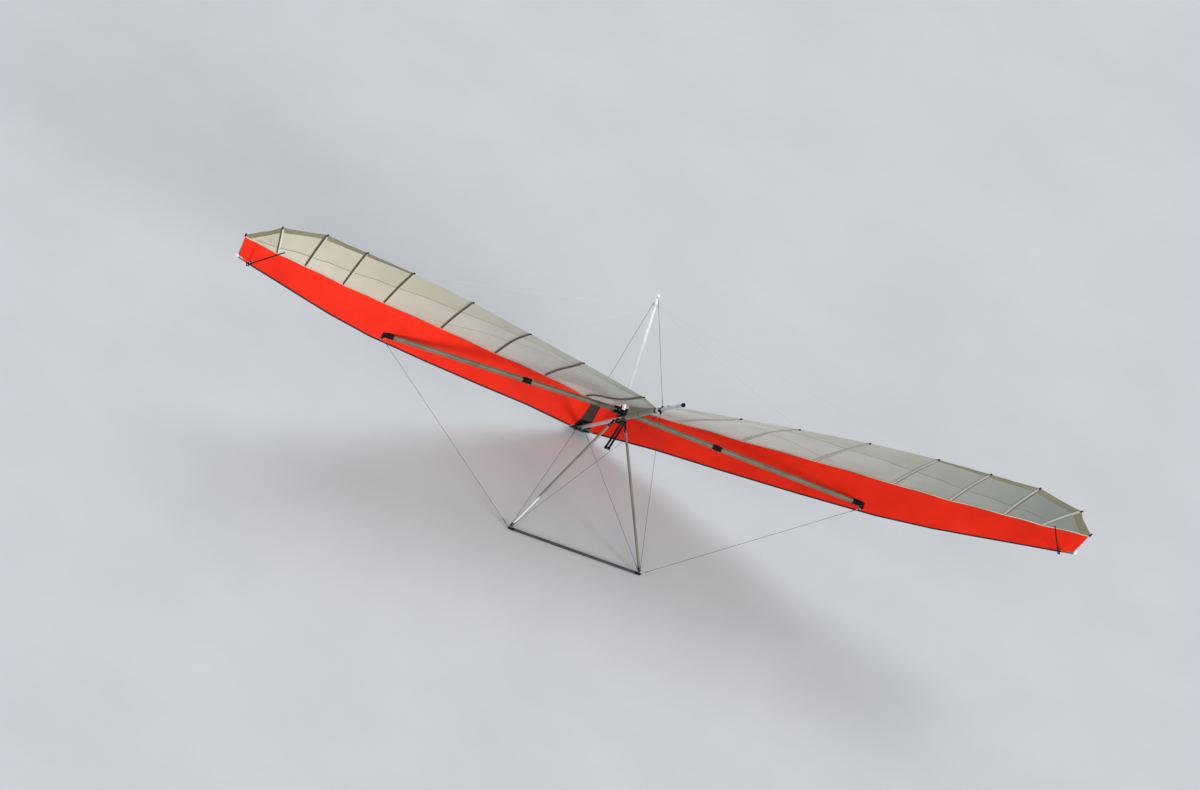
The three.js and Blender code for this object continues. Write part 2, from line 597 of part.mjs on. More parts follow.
// Hang saddle on the keel and its two straps, which hang straight down as the glider is parked

const saddleRing = bar([
  vec([0, SADDLE.y + SADDLE.halfLength, 0]),
  vec([0, SADDLE.y - SADDLE.halfLength, 0]),
], KEEL.radius + SADDLE.play + SADDLE.wall, 16);
const { depth, ear, earHeight, cheekZ } = SADDLE_PLATE;
const saddleEar = (x) => block([ear, depth, earHeight], [x, SADDLE.y, SADDLE.pinZ + 12]);
const saddleCheek = block([2 * SADDLE.halfWidth, depth, SADDLE_PLATE.cheek], [0, SADDLE.y, cheekZ]);
const earX = SADDLE.halfWidth - ear / 2;
const saddlePin = bar([
  vec([-SADDLE.halfWidth, SADDLE.y, SADDLE.pinZ]),
  vec([SADDLE.halfWidth, SADDLE.y, SADDLE.pinZ]),
], SADDLE.pinRadius, 12);
const saddle = cut(
  join(saddleRing, saddleEar(earX), saddleEar(-earX), saddleCheek, saddlePin),
  keelBore(-1000, -3200, SADDLE.play));
add('hang_saddle', fromSolid(saddle), STEEL);

// The strap's outline in its swinging plane: u forward along the floor, v up, with the pin at 0, 0.
function strapOutline() {
  const half = STRAP.thickness / 2;
  const outline = new THREE.Shape();
  const arc = (centreV, radius, from, to, steps) => Array.from({ length: steps + 1 }, (_, k) => {
    const angle = THREE.MathUtils.lerp(from, to, k / steps);
    return new THREE.Vector2(radius * Math.sin(angle), centreV + radius * Math.cos(angle));
  });
  const neck = (radius) => Math.asin(half / radius);
  const topNeck = Math.PI - neck(STRAP_EYE.radius);
  const lowNeck = neck(STRAP_LOOP.radius);
  outline.setFromPoints([
    ...arc(0, STRAP_EYE.radius, -topNeck, topNeck, 12),
    ...arc(-STRAP.length, STRAP_LOOP.radius, lowNeck, 2 * Math.PI - lowNeck, 14),
  ]);
  outline.holes.push(
    new THREE.Path(arc(0, STRAP_EYE.hole, 2 * Math.PI, 0, 12).slice(1)),
    new THREE.Path(arc(-STRAP.length, STRAP_LOOP.hole, 2 * Math.PI, 0, 12).slice(1)));
  return outline;
}

const strapPlane = new THREE.Matrix4().makeBasis(
  new THREE.Vector3(0, 1, 0), new THREE.Vector3(0, 0, 1), new THREE.Vector3(1, 0, 0));
const strap = new THREE.ExtrudeGeometry(strapOutline(), { depth: STRAP.width, bevelEnabled: false })
  .translate(0, 0, STRAP.centreX - STRAP.width / 2)
  .applyMatrix4(strapPlane)
  .rotateX(PITCH)
  .translate(0, SADDLE.y, SADDLE.pinZ);
strap.deleteAttribute('normal');
strap.deleteAttribute('uv');
addPair('hang_strap', mergeVertices(strap, 1e-4), WEBBING);

// Main stays: straight cables between the lugs and balls of the fittings they are hooked to

function stay(from, fromRadius, to, toRadius) {
  const along = to.clone().sub(from).normalize();
  return bar([
    from.clone().addScaledVector(along, fromRadius + FIT),
    to.clone().addScaledVector(along, -toRadius - FIT),
  ], STAY.radius, STAY.sides);
}

const lowTail = tailPoint(-TAIL_BRACKET.lugZ);
const highTail = tailPoint(TAIL_BRACKET.lugZ);
const { ball: cornerBall } = CORNER_BRACKET;
const { radius: kingBall } = KINGPOST_CAP;
addPair('front_stay', stay(vec(noseLug), NOSE.lug, corner, cornerBall), STEEL);
addPair('rear_stay', stay(lowTail, TAIL_BRACKET.lug, corner, cornerBall), STEEL);
addPair('side_stay', stay(sideStayTop, SIDE_STAY.ball, corner, cornerBall), STEEL);
add('upper_front_stay', stay(kingTop, kingBall, vec(topLug), NOSE.lug), STEEL);
add('upper_rear_stay', stay(kingTop, kingBall, highTail, TAIL_BRACKET.lug), STEEL);

// Parked: pitched nose down about the base bar, with the floor at Z = 0 under its middle

const footing = vec([0, CORNER[1], CORNER[2]]).addScaledVector(floorUp, -BASE_BAR.apothem);
flying.rotation.x = -PITCH;
flying.position.copy(footing.negate().applyAxisAngle(new THREE.Vector3(1, 0, 0), -PITCH));

const glider = new THREE.Group();
glider.add(flying);
export default glider;
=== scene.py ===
"""Looks of the hang glider. Shapes are given as it flies, in metres: X to starboard, Y forward and
Z up, with the keel's axis along Y and the nose at Y = 0. placed() turns them into the parked stance."""

import math

import bmesh
import bpy
import numpy as np
from mathutils import Matrix, Vector


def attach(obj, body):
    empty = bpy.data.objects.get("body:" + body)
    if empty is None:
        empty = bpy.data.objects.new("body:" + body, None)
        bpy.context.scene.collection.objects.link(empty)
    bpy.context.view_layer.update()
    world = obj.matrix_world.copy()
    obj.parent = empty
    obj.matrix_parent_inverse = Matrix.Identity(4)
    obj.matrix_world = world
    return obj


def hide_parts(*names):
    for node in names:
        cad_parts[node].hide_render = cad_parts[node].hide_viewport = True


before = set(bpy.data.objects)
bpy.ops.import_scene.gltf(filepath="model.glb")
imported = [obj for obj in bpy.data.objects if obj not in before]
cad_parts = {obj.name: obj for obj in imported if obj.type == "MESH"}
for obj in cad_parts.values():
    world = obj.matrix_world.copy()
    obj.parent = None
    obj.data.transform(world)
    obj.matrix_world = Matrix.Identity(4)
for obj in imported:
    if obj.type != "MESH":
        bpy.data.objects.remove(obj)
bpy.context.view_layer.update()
SIDES = {1: "starboard", -1: "port"}

# The turn and the shift from flight to the parked stance.
PITCH_COS, PITCH_SIN = 0.654083, 0.756423
NOSE_PLACE = (0.0, 1.99637, 0.05306)

# The leading edge tube: metres aft for each metre out, the radius and the station of its inner and its
# outer end, the gap between tube and cloth, and the length that the lower skin leaves bare at the tip.
SWEEP = 0.53
LEAD_RADIUS = (0.026, 0.022)
LEAD_ENDS = (0.048, 5.100)
SKIN_GAP = 0.0016
TIP_BARE = 0.13

# Thickness of the sailcloth, of sewn tapes, of hems and batten pockets, and of the keel pocket.
CLOTH, TAPE, FOLDED, POCKET_CLOTH = 0.0012, 0.0009, 0.0006, 0.0011
BATTEN_RADIUS = 0.006

# One row for each rib of the starboard half: the leading edge tube's x and z, the end of the lower
# skin, the trailing edge, and the rise of the open panel at its quarter points.
RIBS = 0.001 * np.array([
    [150, 0, 150, -420, 286, 150, -2690, 118, 8, -22, -25],
    [765, 0, 805, -902, 272, 959, -2794, 237, 15, 11, -2],
    [1467, -30, 1499, -1156, 277, 1639, -2801, 344, 21, 33, 21],
    [2242, -55, 2274, -1512, 279, 2415, -2946, 435, 12, 14, 8],
    [3077, -70, 3099, -1898, 268, 3196, -3057, 504, 12, 16, 10],
    [3667, -44, 3696, -2208, 256, 3798, -3137, 531, 10, 14, 9],
    [4228, 8, 4255, -2494, 260, 4341, -3290, 541, 9, 12, 8],
    [4575, 42, 4658, -2678, 260, 4867, -3318, 452, 8, 10, 7],
    [5100, 90, 5143, -2925, 279, 5150, -2956, 296, 0, 0, 0],
])
INNER_EDGE = 0.001 * np.array([137, 0, 55, -420, 284, 150, -2690, 118, 0, 0, 0])
CENTRE_ROW = 0.001 * np.array([1.5, -420, 283, 1.5, -2780, 36, 14, -8, -14])
CENTRE_FRONT = 0.001 * np.array([1.5, -270, 236])
CENTRE_X = 0.0015
STATIONS = RIBS[:, 0]
BATTENS = STATIONS[:-1]

# How deep the trailing edge is cut between battens, inboard and outboard, how far the slope of the open
# panel is carried on into the crown, as a share of the crown's width, and the height between battens of
# the cloth's swell and of its creases.
SCALLOP = (0.016, 0.028)
CROWN_PULL = 0.44
SWELL, CREASE = 0.010, 0.0022

# The sag of the lower skin, as a share of its width: all over, outboard of the crossbar, in long folds
# and in the ripples round the strut.
SAG, OUTER_SAG, FOLD_SAG, STRUT_SAG = 0.026, 0.020, 0.009, 0.020

KING_TOP = np.array([0, -1.5, 1.44])
CORNER = np.array([0.796, -1.277, -1.535])
APEX = np.array([0.06, -1.503, -0.027])
CROSS_CENTRE = np.array([0, -1.42, 0.098])
CROSS_END = np.array([2.918, -1.606, -0.016])
SIDE_STAY_TOP = CROSS_END + (0, 0.006, -0.044)
LUFF_TOP = KING_TOP - (0, 0, 0.112)
TAIL_Y = -2.997
STRUT_ROOT = np.array([4.936, -2.655, 0.044])
STRUT_END = np.array([4.695, -3.077, 0.235])
NOSE_LUG = np.array([0.052, -0.088, -0.0374])
TOP_LUG = np.array([0, 0, 0.0374])
DOWN = (CORNER - APEX) / np.linalg.norm(CORNER - APEX)
# The starboard strap's pin, in the parked stance.
STRAP_PIN = np.array([0.018, 0.87756, 1.27355])


# Shapes

def placed(points):
    p = np.asarray(points, float)
    x, y, z = p[..., 0], p[..., 1], p[..., 2]
    return np.stack([
        x + NOSE_PLACE[0],
        PITCH_COS * y + PITCH_SIN * z + NOSE_PLACE[1],
        PITCH_COS * z - PITCH_SIN * y + NOSE_PLACE[2]], -1)


def mirrored(points, side):
    return np.asarray(points, float) * (side, 1, 1)


def unit(v):
    """Vectors of length 1 in the direction of the last axis of v."""
    v = np.asarray(v, float)
    return v / np.maximum(np.linalg.norm(v, axis=-1, keepdims=True), 1e-12)


def distance_along(points):
    return np.concatenate([[0], np.cumsum(np.linalg.norm(np.diff(points, axis=0), axis=1))])


def new_object(name, data):
    obj = bpy.data.objects.new(name, data)
    bpy.context.scene.collection.objects.link(obj)
    return obj


class Shape:
    """Points, faces and UVs in metres, gathered from several bodies that share one finish."""

    def __init__(self):
        self.points, self.faces, self.uvs = [], [], []

    def add(self, points, faces, uv):
        start = sum(len(p) for p in self.points)
        points = np.asarray(points, float).reshape(-1, 3)
        self.points.append(points)
        self.faces += [tuple(start + i for i in face) for face in faces]
        self.uvs.append(np.asarray(uv, float).reshape(-1, 2))
        return self

    def make(self, name, finish, slot, side=0, body="airframe", angle=38, stance=placed):
        if side:
            name = f"{name}_{SIDES[side]}"
        mesh = bpy.data.meshes.new(name)
        points = stance(np.concatenate(self.points))
        mesh.from_pydata(points.tolist(), [], self.faces)
        mesh.validate()
        layer = mesh.uv_layers.new(name="UVMap")
        uv = np.concatenate(self.uvs)
        index = np.empty(len(mesh.loops), np.int32)
        mesh.loops.foreach_get("vertex_index", index)
        layer.data.foreach_set("uv", uv[index].astype(np.float32).ravel())
        obj = new_object(name, mesh)
        fix_normals(mesh)
        mesh.polygons.foreach_set("use_smooth", [True] * len(mesh.polygons))
        mesh.set_sharp_from_angle(angle=math.radians(angle))
        mesh.materials.append(MATERIALS[finish])
        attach(obj, body)
        return obj


def fix_normals(mesh):
    work = bmesh.new()
    work.from_mesh(mesh)
    bmesh.ops.recalc_face_normals(work, faces=work.faces)
    work.to_mesh(mesh)
    work.free()


def grid_faces(rows, columns, closed=False, start=0):
    faces = []
    for i in range(rows - 1):
        near = start + i * columns
        far = near + columns
        for j in range(columns if closed else columns - 1):
            k = (j + 1) % columns
            faces.append((near + j, near + k, far + k, far + j))
    return faces


def grid_normals(grid):
    along = np.gradient(grid, axis=0)
    across = np.gradient(grid, axis=1)
    return unit(np.cross(along, across))


def shell(shape, grid, thickness, uv):
    """A cloth of even thickness along a grid of points, with its edges closed."""
    rows, columns = grid.shape[:2]
    normal = grid_normals(grid)
    count = rows * columns
    points = np.concatenate([
        (grid + normal * thickness / 2).reshape(-1, 3),
        (grid - normal * thickness / 2).reshape(-1, 3)])
    faces = grid_faces(rows, columns) + grid_faces(rows, columns, start=count)
    rim = ([(0, j) for j in range(columns - 1)] + [(i, columns - 1) for i in range(rows - 1)]
           + [(rows - 1, j) for j in range(columns - 1, 0, -1)] + [(i, 0) for i in range(rows - 1, 0, -1)])
    ring = [i * columns + j for i, j in rim]
    for a, b in zip(ring, ring[1:] + ring[:1]):
        faces.append((a, b, b + count, a + count))
    return shape.add(points, faces, np.concatenate([uv.reshape(-1, 2)] * 2))


def cloth(shape, grid, thickness, side=1):
    return shell(shape, mirrored(grid, side), thickness, cloth_uv(grid))


def grid_of(lines):
    """A grid whose columns are the lines given."""
    return np.array(lines).transpose(1, 0, 2)


def circle(up, side, count):
    """Points round a circle of radius 1 that lies in the plane of up and side."""
    angle = np.linspace(0, 2 * math.pi, count, endpoint=False)[:, None]
    return np.cos(angle) * up + np.sin(angle) * side


def rod_faces(rows, sides):
    """The faces of a body made of rings, with both ends closed."""
    ends = [tuple(start + k for k in range(sides)) for start in (0, (rows - 1) * sides)]
    return grid_faces(rows, sides, closed=True) + ends


def ring_points(route, radius, sides):
    """Rings round a route, turned as little as possible from one to the next."""
    radii = np.broadcast_to(np.asarray(radius, float), len(route))
    tangent = unit(np.gradient(route, axis=0))
    up = np.array([0, 0, 1.0])
    if abs(np.dot(up, tangent[0])) > 0.95:
        up = np.array([0, 1.0, 0])
    rings = []
    for point, direction, r in zip(route, tangent, radii):
        up = unit(up - direction * np.dot(up, direction))
        rings.append(point + r * circle(up, np.cross(direction, up), sides))
    return np.array(rings)


def tube(shape, route, radius, sides):
    route = np.asarray(route, float)
    around = np.linspace(0, 2 * math.pi * np.max(radius), sides)
    uv = np.stack(np.meshgrid(around, distance_along(route)), -1)
    return shape.add(ring_points(route, radius, sides), rod_faces(len(route), sides), uv)


def turned(shape, origin, axis, profile, sides):
    """A body of revolution: profile is a list of (distance along the axis, radius)."""
    axis = unit(axis)
    guide = np.array([0, 0, 1.0]) if abs(axis[2]) < 0.9 else np.array([0, 1.0, 0])
    up = unit(guide - axis * np.dot(guide, axis))
    ring = circle(up, np.cross(axis, up), sides)
    rings = np.array([np.asarray(origin) + axis * along + r * ring for along, r in profile])
    uv = np.stack(np.meshgrid(np.linspace(0, 0.05, sides), [a for a, _ in profile]), -1)
    shape.add(rings, rod_faces(len(profile), sides), uv)


def bolt(shape, origin, axis, radius, head=0.005):
    """A hexagon head on a round washer, standing on origin and pointing along axis."""
    turned(shape, origin, axis, [(0, radius * 1.9), (0.0014, radius * 1.9), (0.0016, radius * 1.7)], 20)
    turned(shape, origin, axis, [
        (0.0012, radius * 1.5), (0.0012 + head * 0.8, radius * 1.5), (0.0012 + head, radius * 1.25)], 6)
    turned(shape, origin, axis, [
        (head, radius * 0.8), (head + 0.004, radius * 0.8), (head + 0.005, radius * 0.6)], 12)


def cut_away(obj, *cutters):
    """Takes closed cutter shapes out of a piece."""
    for shape in cutters:
        mesh = bpy.data.meshes.new("cutter")
        mesh.from_pydata(placed(np.concatenate(shape.points)).tolist(), [], shape.faces)
        fix_normals(mesh)
        cutter = new_object("cutter", mesh)
        modifier = obj.modifiers.new("cut", "BOOLEAN")
        modifier.operation = "DIFFERENCE"
        modifier.solver = "EXACT"
        modifier.object = cutter
        depsgraph = bpy.context.evaluated_depsgraph_get()
        result = bpy.data.meshes.new_from_object(obj.evaluated_get(depsgraph))
        obj.modifiers.remove(modifier)
        old = obj.data
        obj.data = result
        bpy.data.meshes.remove(old)
        bpy.data.objects.remove(cutter)
    obj.data.set_sharp_from_angle(angle=math.radians(40))


# Sail surfaces

def smooth_rows(knots, values, at):
    """Monotone cubic curves through the rows of values."""
    step = np.diff(knots)
    rate = np.diff(values, axis=0) / step[:, None]
    slope = np.zeros_like(values)
    slope[0], slope[-1] = rate[0], rate[-1]
    for k in range(1, len(knots) - 1):
        same = rate[k - 1] * rate[k] > 0
        near, far = 2 * step[k] + step[k - 1], step[k] + 2 * step[k - 1]
        safe_a = np.where(same, rate[k - 1], 1.0)
        safe_b = np.where(same, rate[k], 1.0)
        slope[k] = np.where(same, (near + far) / (near / safe_a + far / safe_b), 0.0)
    i = np.clip(np.searchsorted(knots, at, side="right") - 1, 0, len(knots) - 2)
    t = ((at - knots[i]) / step[i])[:, None]
    h = step[i][:, None]
    return (values[i] * (1 + 2 * t) * (1 - t) ** 2 + slope[i] * h * t * (1 - t) ** 2
            + values[i + 1] * t ** 2 * (3 - 2 * t) + slope[i + 1] * h * t ** 2 * (t - 1))


def rib_at(x):
    """The rib's values at leading edge stations x. The raked tip beyond the last batten is straight,
    and so are the lengths of leading edge tube between ribs."""
    flat = np.maximum(x.ravel(), STATIONS[0])
    last = BATTENS[-1]
    inner = smooth_rows(BATTENS, RIBS[:-1], np.minimum(flat, last))
    share = np.clip((flat - last) / (STATIONS[-1] - last), 0, 1)[:, None]
    rows = np.where(flat[:, None] > last, RIBS[-2] + (RIBS[-1] - RIBS[-2]) * share, inner)
    rows[:, 1] = np.interp(flat, STATIONS, RIBS[:, 1])
    return rows.reshape(*x.shape, RIBS.shape[1])


def between_battens(x):
    """0 on a batten and 1 midway to the next one."""
    i = np.clip(np.searchsorted(STATIONS, x, side="right") - 1, 0, len(BATTENS) - 1)
    share = np.clip((x - STATIONS[i]) / (STATIONS[i + 1] - STATIONS[i]), 0, 1)
    return np.sin(math.pi * share) ** 2


def lead_radius(x):
    share = (x - LEAD_ENDS[0]) / (LEAD_ENDS[1] - LEAD_ENDS[0])
    return LEAD_RADIUS[0] + (LEAD_RADIUS[1] - LEAD_RADIUS[0]) * share


def around_lead(x, z, radius, degrees):
    """Points round the leading edge tube's axis. 0 degrees is in front and 90 on top."""
    angle = np.radians(degrees)[..., None]
    radius = radius[..., None]
    axis = np.stack([x, -SWEEP * x, z], -1)
    return axis + radius * np.cos(angle) * unit([SWEEP, 1, 0]) + radius * np.sin(angle) * (0, 0, 1)


def panel_rise(t, rise):
    """The quartic through 0 at both ends and rise at the quarter points."""
    knots = np.array([0, 0.25, 0.5, 0.75, 1])
    total = 0
    for k in range(3):
        others = np.delete(knots, k + 1)
        basis = np.prod([(t - o) / (knots[k + 1] - o) for o in others], axis=0)
        total = total + rise[..., k] * basis
    return total


def upper_skin(x, c):
    """Points of the upper skin. c runs 0 to 1 round the leading edge, to 2 over the crown and to 3
    over the open panel."""
    x, c = np.broadcast_arrays(np.asarray(x, float), np.asarray(c, float))
    row = rib_at(x)
    lx, lz, seam, trail, rise = row[..., 0], row[..., 1], row[..., 2:5], row[..., 5:8], row[..., 8:11]
    belly = between_battens(x)
    reach = np.linalg.norm(seam - trail, axis=-1)
    depth = SCALLOP[0] + (SCALLOP[1] - SCALLOP[0]) * np.clip(2 * (x - 3.9), 0, 1)
    scallop = depth * np.sqrt(belly) * np.clip(reach / 0.5, 0, 1)
    trail = trail + unit(seam - trail) * scallop[..., None]
    radius = lead_radius(lx) + SKIN_GAP
    arc = around_lead(lx, lz, radius, -60 + 150 * np.clip(c, 0, 1))
    top = around_lead(lx, lz, radius, np.full(x.shape, 90.0))
    first = seam + (trail - seam) * 0.25
    first[..., 2] += rise[..., 0]
    control = seam + unit(seam - first) * (np.linalg.norm(seam - top, axis=-1) * CROWN_PULL)[..., None]
    t = np.clip(c - 1, 0, 1)[..., None]
    crown = top * (1 - t) ** 2 + 2 * control * t * (1 - t) + seam * t ** 2
    t = np.clip(c - 2, 0, 1)
    open_panel = seam + (trail - seam) * t[..., None]
    open_panel[..., 2] += panel_rise(t, rise)
    points = np.where((c <= 1)[..., None], arc, np.where((c <= 2)[..., None], crown, open_panel))
    inside = x < STATIONS[0]
    if inside.any():
        crest, tail, centre_rise = CENTRE_ROW[0:3], CENTRE_ROW[3:6], CENTRE_ROW[6:9]
        share = np.where(c <= 1, c * 5, 5 + (c - 1) * 4) / 9
        ahead_of_crest = CENTRE_FRONT + (crest - CENTRE_FRONT) * np.clip(share, 0, 1)[..., None]
        behind = crest + (tail - crest) * t[..., None]
        behind[..., 2] += panel_rise(t, np.broadcast_to(centre_rise, (*t.shape, 3)))
        centre = np.where((c <= 2)[..., None], ahead_of_crest, behind)
        weight = np.clip((x - CENTRE_X) / (STATIONS[0] - CENTRE_X), 0, 1)[..., None]
        points = np.where(inside[..., None], centre + (points - centre) * weight, points)
    span = np.clip(x / LEAD_ENDS[1], 0, 1)
    swell = SWELL * belly * np.sin(math.pi * np.clip(c - 1.6, 0, 1.4) / 1.5)
    creases = np.sin(31 * x + 9 * c) * 0.35 + np.sin(17 * x - 13 * c + 1.3) * 0.65
    swell += CREASE * belly * (0.4 + span) * creases * np.clip((c - 1.6) * 2.5, 0, 1)
    points[..., 2] += swell
    return points


def lower_skin(x, c):
    """Points of the lower skin. c runs 0 to 1 round the underside of the leading edge tube and to 2
    back to the upper skin."""
    x, c = np.broadcast_arrays(np.asarray(x, float), np.asarray(c, float))
    share = np.clip((x - INNER_EDGE[0]) / (STATIONS[0] - INNER_EDGE[0]), 0, 1)[..., None]
    row = INNER_EDGE + (rib_at(x) - INNER_EDGE) * share
    lx, lz, seam = row[..., 0], row[..., 1], row[..., 2:5]
    radius = lead_radius(lx) + SKIN_GAP
    bare = np.clip((x - (LEAD_ENDS[1] - TIP_BARE)) / (TIP_BARE * 0.6), 0, 1)
    stop = -150 - 52 * bare
    start = -64 + (stop + 66) * bare
    arc = around_lead(lx, lz, radius, start + (stop - start) * np.clip(c, 0, 1))
    last = around_lead(lx, lz, radius, stop)
    t = np.clip(c - 1, 0, 1)
    edge = seam - np.array([0, 0, 0.003])
    run = last + (edge - last) * t[..., None]
    points = np.where((c <= 1)[..., None], arc, run)
    points[..., 0] -= 0.034 * (1 - share[..., 0]) * np.sin(math.pi * np.sqrt(t))
    width = np.linalg.norm(edge - last, axis=-1)
    belly = np.sin(math.pi * t) * width
    tip = np.clip((x - 3.4) / 1.5, 0, 1)
    strut = np.exp(-((x - 4.75) / 0.18) ** 2)
    folds = (np.sin(9.5 * x + 4 * c) * 0.5 + np.sin(23 * x - 11 * c + 0.7) * 0.3
             + np.sin(41 * x + 17 * c + 2.1) * 0.2)
    outboard = np.clip((x - 3.02) / 0.5, 0, 1) * np.clip((5.1 - x) / 0.5, 0, 1)
    ripples = FOLD_SAG * folds * (0.35 + tip) + STRUT_SAG * strut * np.sin(26 * x + 9 * c)
    points[..., 2] -= belly * (SAG + OUTER_SAG * outboard + ripples)
    return points


def steps_between(knots, counts):
    """Places from the first knot to the last one, with counts steps between each two."""
    parts = [np.linspace(a, b, n, endpoint=False) for a, b, n in zip(knots, knots[1:], counts)]
    return np.concatenate([*parts, [knots[-1]]])


def cloth_uv(grid):
    along = np.linalg.norm(np.diff(grid, axis=0), axis=-1).mean(axis=1)
    across = np.linalg.norm(np.diff(grid, axis=1), axis=-1)
    u = np.concatenate([[0], np.cumsum(along)])
    v = np.concatenate([np.zeros((len(grid), 1)), np.cumsum(across, axis=1)], axis=1)
    return np.stack([np.broadcast_to(u[:, None], v.shape), v], -1)


def sail_area(grid):
    a = grid[1:, 1:] - grid[:-1, :-1]
    b = grid[1:, :-1] - grid[:-1, 1:]
    return float(np.linalg.norm(np.cross(a, b), axis=-1).sum() / 2)


# Finishes

def rgb(code):
    """A colour as it looks on the screen, given as hexadecimal, in linear light."""
    parts = [int(code[i:i + 2], 16) / 255 for i in (0, 2, 4)]
    return (*(p / 12.92 if p <= 0.04045 else ((p + 0.055) / 1.055) ** 2.4 for p in parts), 1.0)


class Finish:
    """A material on the standard shader, with helpers for what feeds its sockets."""

    def __init__(self, name, **constants):
        self.name = name
        self.material = bpy.data.materials.new(name)
        self.material.use_nodes = True
        self.tree = self.material.node_tree
        self.shader = self.tree.nodes["Principled BSDF"]
        for socket, value in constants.items():
            self.shader.inputs[socket.replace("_", " ")].default_value = value

    def node(self, kind, inputs, **settings):
        made = self.tree.nodes.new(kind)
        for key, value in settings.items():
            setattr(made, key, value)
        for key, value in inputs.items():
            if isinstance(value, bpy.types.NodeSocket):
                self.tree.links.new(value, made.inputs[key])
            else:
                made.inputs[key].default_value = value
        return made

    def place(self, source):
        return self.node("ShaderNodeTexCoord", {}).outputs[source]

    def mapped(self, source, scale=(1, 1, 1)):
        inputs = {"Vector": self.place(source), "Scale": scale}
        return self.node("ShaderNodeMapping", inputs).outputs["Vector"]

    def axis(self, name, source="Object"):
        return self.node("ShaderNodeSeparateXYZ", {"Vector": self.place(source)}).outputs[name]

    def noise(self, scale, detail, source="Object", stretch=(1, 1, 1)):
        inputs = {"Vector": self.mapped(source, stretch), "Scale": scale, "Detail": detail,
                  "Roughness": 0.55}
        return self.node("ShaderNodeTexNoise", inputs).outputs["Fac"]

    def wave(self, scale, direction, source):
        inputs = {"Vector": self.mapped(source), "Scale": scale, "Distortion": 0.0}
        return self.node("ShaderNodeTexWave", inputs, bands_direction=direction).outputs["Fac"]

    def ramp(self, factor, stops):
        """A blend of two colours, each with its place on the factor."""
        made = self.node("ShaderNodeValToRGB", {"Fac": factor})
        for element, (position, colour) in zip(made.color_ramp.elements, stops):
            element.position = position
            element.color = colour
        return made.outputs["Color"]

    def mottle(self, factor, dark, light, low, high):
        return self.ramp(factor, [(low, rgb(dark)), (high, rgb(light))])

    def math(self, operation, a, b):
        return self.node("ShaderNodeMath", {0: a, 1: b}, operation=operation).outputs[0]

    def mix(self, factor, a, b, blend="MIX"):
        inputs = {0: factor, 6: a, 7: b}
        return self.node("ShaderNodeMix", inputs, data_type="RGBA", blend_type=blend).outputs[2]

    def span(self, factor, low, high, to_low=0.0, to_high=1.0):
        inputs = {"Value": factor, "From Min": low, "From Max": high, "To Min": to_low, "To Max": to_high}
        return self.node("ShaderNodeMapRange", inputs).outputs["Result"]

    def colour(self, socket):
        self.tree.links.new(socket, self.shader.inputs["Base Color"])

    def roughness(self, socket):
        self.tree.links.new(socket, self.shader.inputs["Roughness"])

    def uneven(self, scale, detail, low, high, source="Object"):
        """Roughness that varies in patches."""
        self.roughness(self.span(self.noise(scale, detail, source), 0.3, 0.7, low, high))

    def bump(self, height, distance):
        """Relief on top of what there is already."""
        inputs = {"Height": height, "Distance": distance, "Strength": 1.0}
        old = self.shader.inputs["Normal"].links
        if old:
            inputs["Normal"] = old[0].from_socket
        made = self.node("ShaderNodeBump", inputs)
        self.tree.links.new(made.outputs["Normal"], self.shader.inputs["Normal"])


THREADS = 90


def cloth_finish(name, light, dark, rough=(0.5, 0.68), crease=0.003, source="UV", tint=None, shine=0.3):
    """Woven sailcloth: a fine thread grid, stains and soft creases."""
    finish = Finish(name, Sheen_Weight=0.2 * shine, Sheen_Roughness=0.5, Specular_IOR_Level=shine)
    colour = finish.mottle(finish.noise(1.3, 5, source), dark, light, 0.32, 0.62)
    if tint is not None:
        colour = tint(finish, colour)
    weave = finish.math("MULTIPLY", finish.wave(THREADS, "X", source), finish.wave(THREADS, "Y", source))
    shade = finish.span(weave, 0, 1, 0.93, 1.03)
    shading = finish.ramp(shade, [(0.9, (0.93, 0.93, 0.93, 1)), (1.0, (1, 1, 1, 1))])
    finish.colour(finish.mix(1.0, colour, shading, "MULTIPLY"))
    finish.uneven(7, 4, *rough, source)
    finish.bump(finish.noise(5, 3, source, (1, 2.6, 1)), crease)
    finish.bump(weave, 0.00025)
    return finish


def metal_finish(name, light, dark, metallic, rough, tint=None, patches=4.8):
    finish = Finish(name, Metallic=metallic)
    colour = finish.mottle(finish.noise(patches, 5), dark, light, 0.35, 0.65)
    finish.colour(colour if tint is None else tint(finish, colour))
    grain = finish.noise(160, 4)
    finish.roughness(finish.span(grain, 0.25, 0.75, *rough))
    finish.bump(grain, 0.0002)
    return finish


def plastic_finish(name, light, dark, rough=(0.45, 0.65), bump=0.0004, shine=0.16):
    finish = Finish(name, Specular_IOR_Level=shine)
    finish.colour(finish.mottle(finish.noise(14, 4), dark, light, 0.35, 0.7))
    finish.uneven(60, 3, *rough)
    finish.bump(finish.noise(420, 2), bump)
    return finish


def webbing_finish(name, light, dark, shine=0.3):
    finish = Finish(name, Sheen_Weight=0.5 * shine, Sheen_Roughness=0.4, Specular_IOR_Level=shine)
    weave = finish.math("MULTIPLY", finish.wave(55, "X", "Object"), finish.wave(85, "Z", "Object"))
    finish.colour(finish.mottle(weave, dark, light, 0.1, 0.8))
    finish.uneven(30, 3, 0.75, 0.95)
    finish.bump(weave, 0.0006)
    return finish


def port_painted_highlight(finish, colour):
    """Painted highlight: the port downtube is brighter and bluer over its lower third."""
    low = finish.span(finish.axis("Z"), 0.365, 0.335)
    port = finish.span(finish.axis("X"), -0.1, -0.2)
    return finish.mix(finish.math("MULTIPLY", low, port), colour, rgb("BFC4CA"))


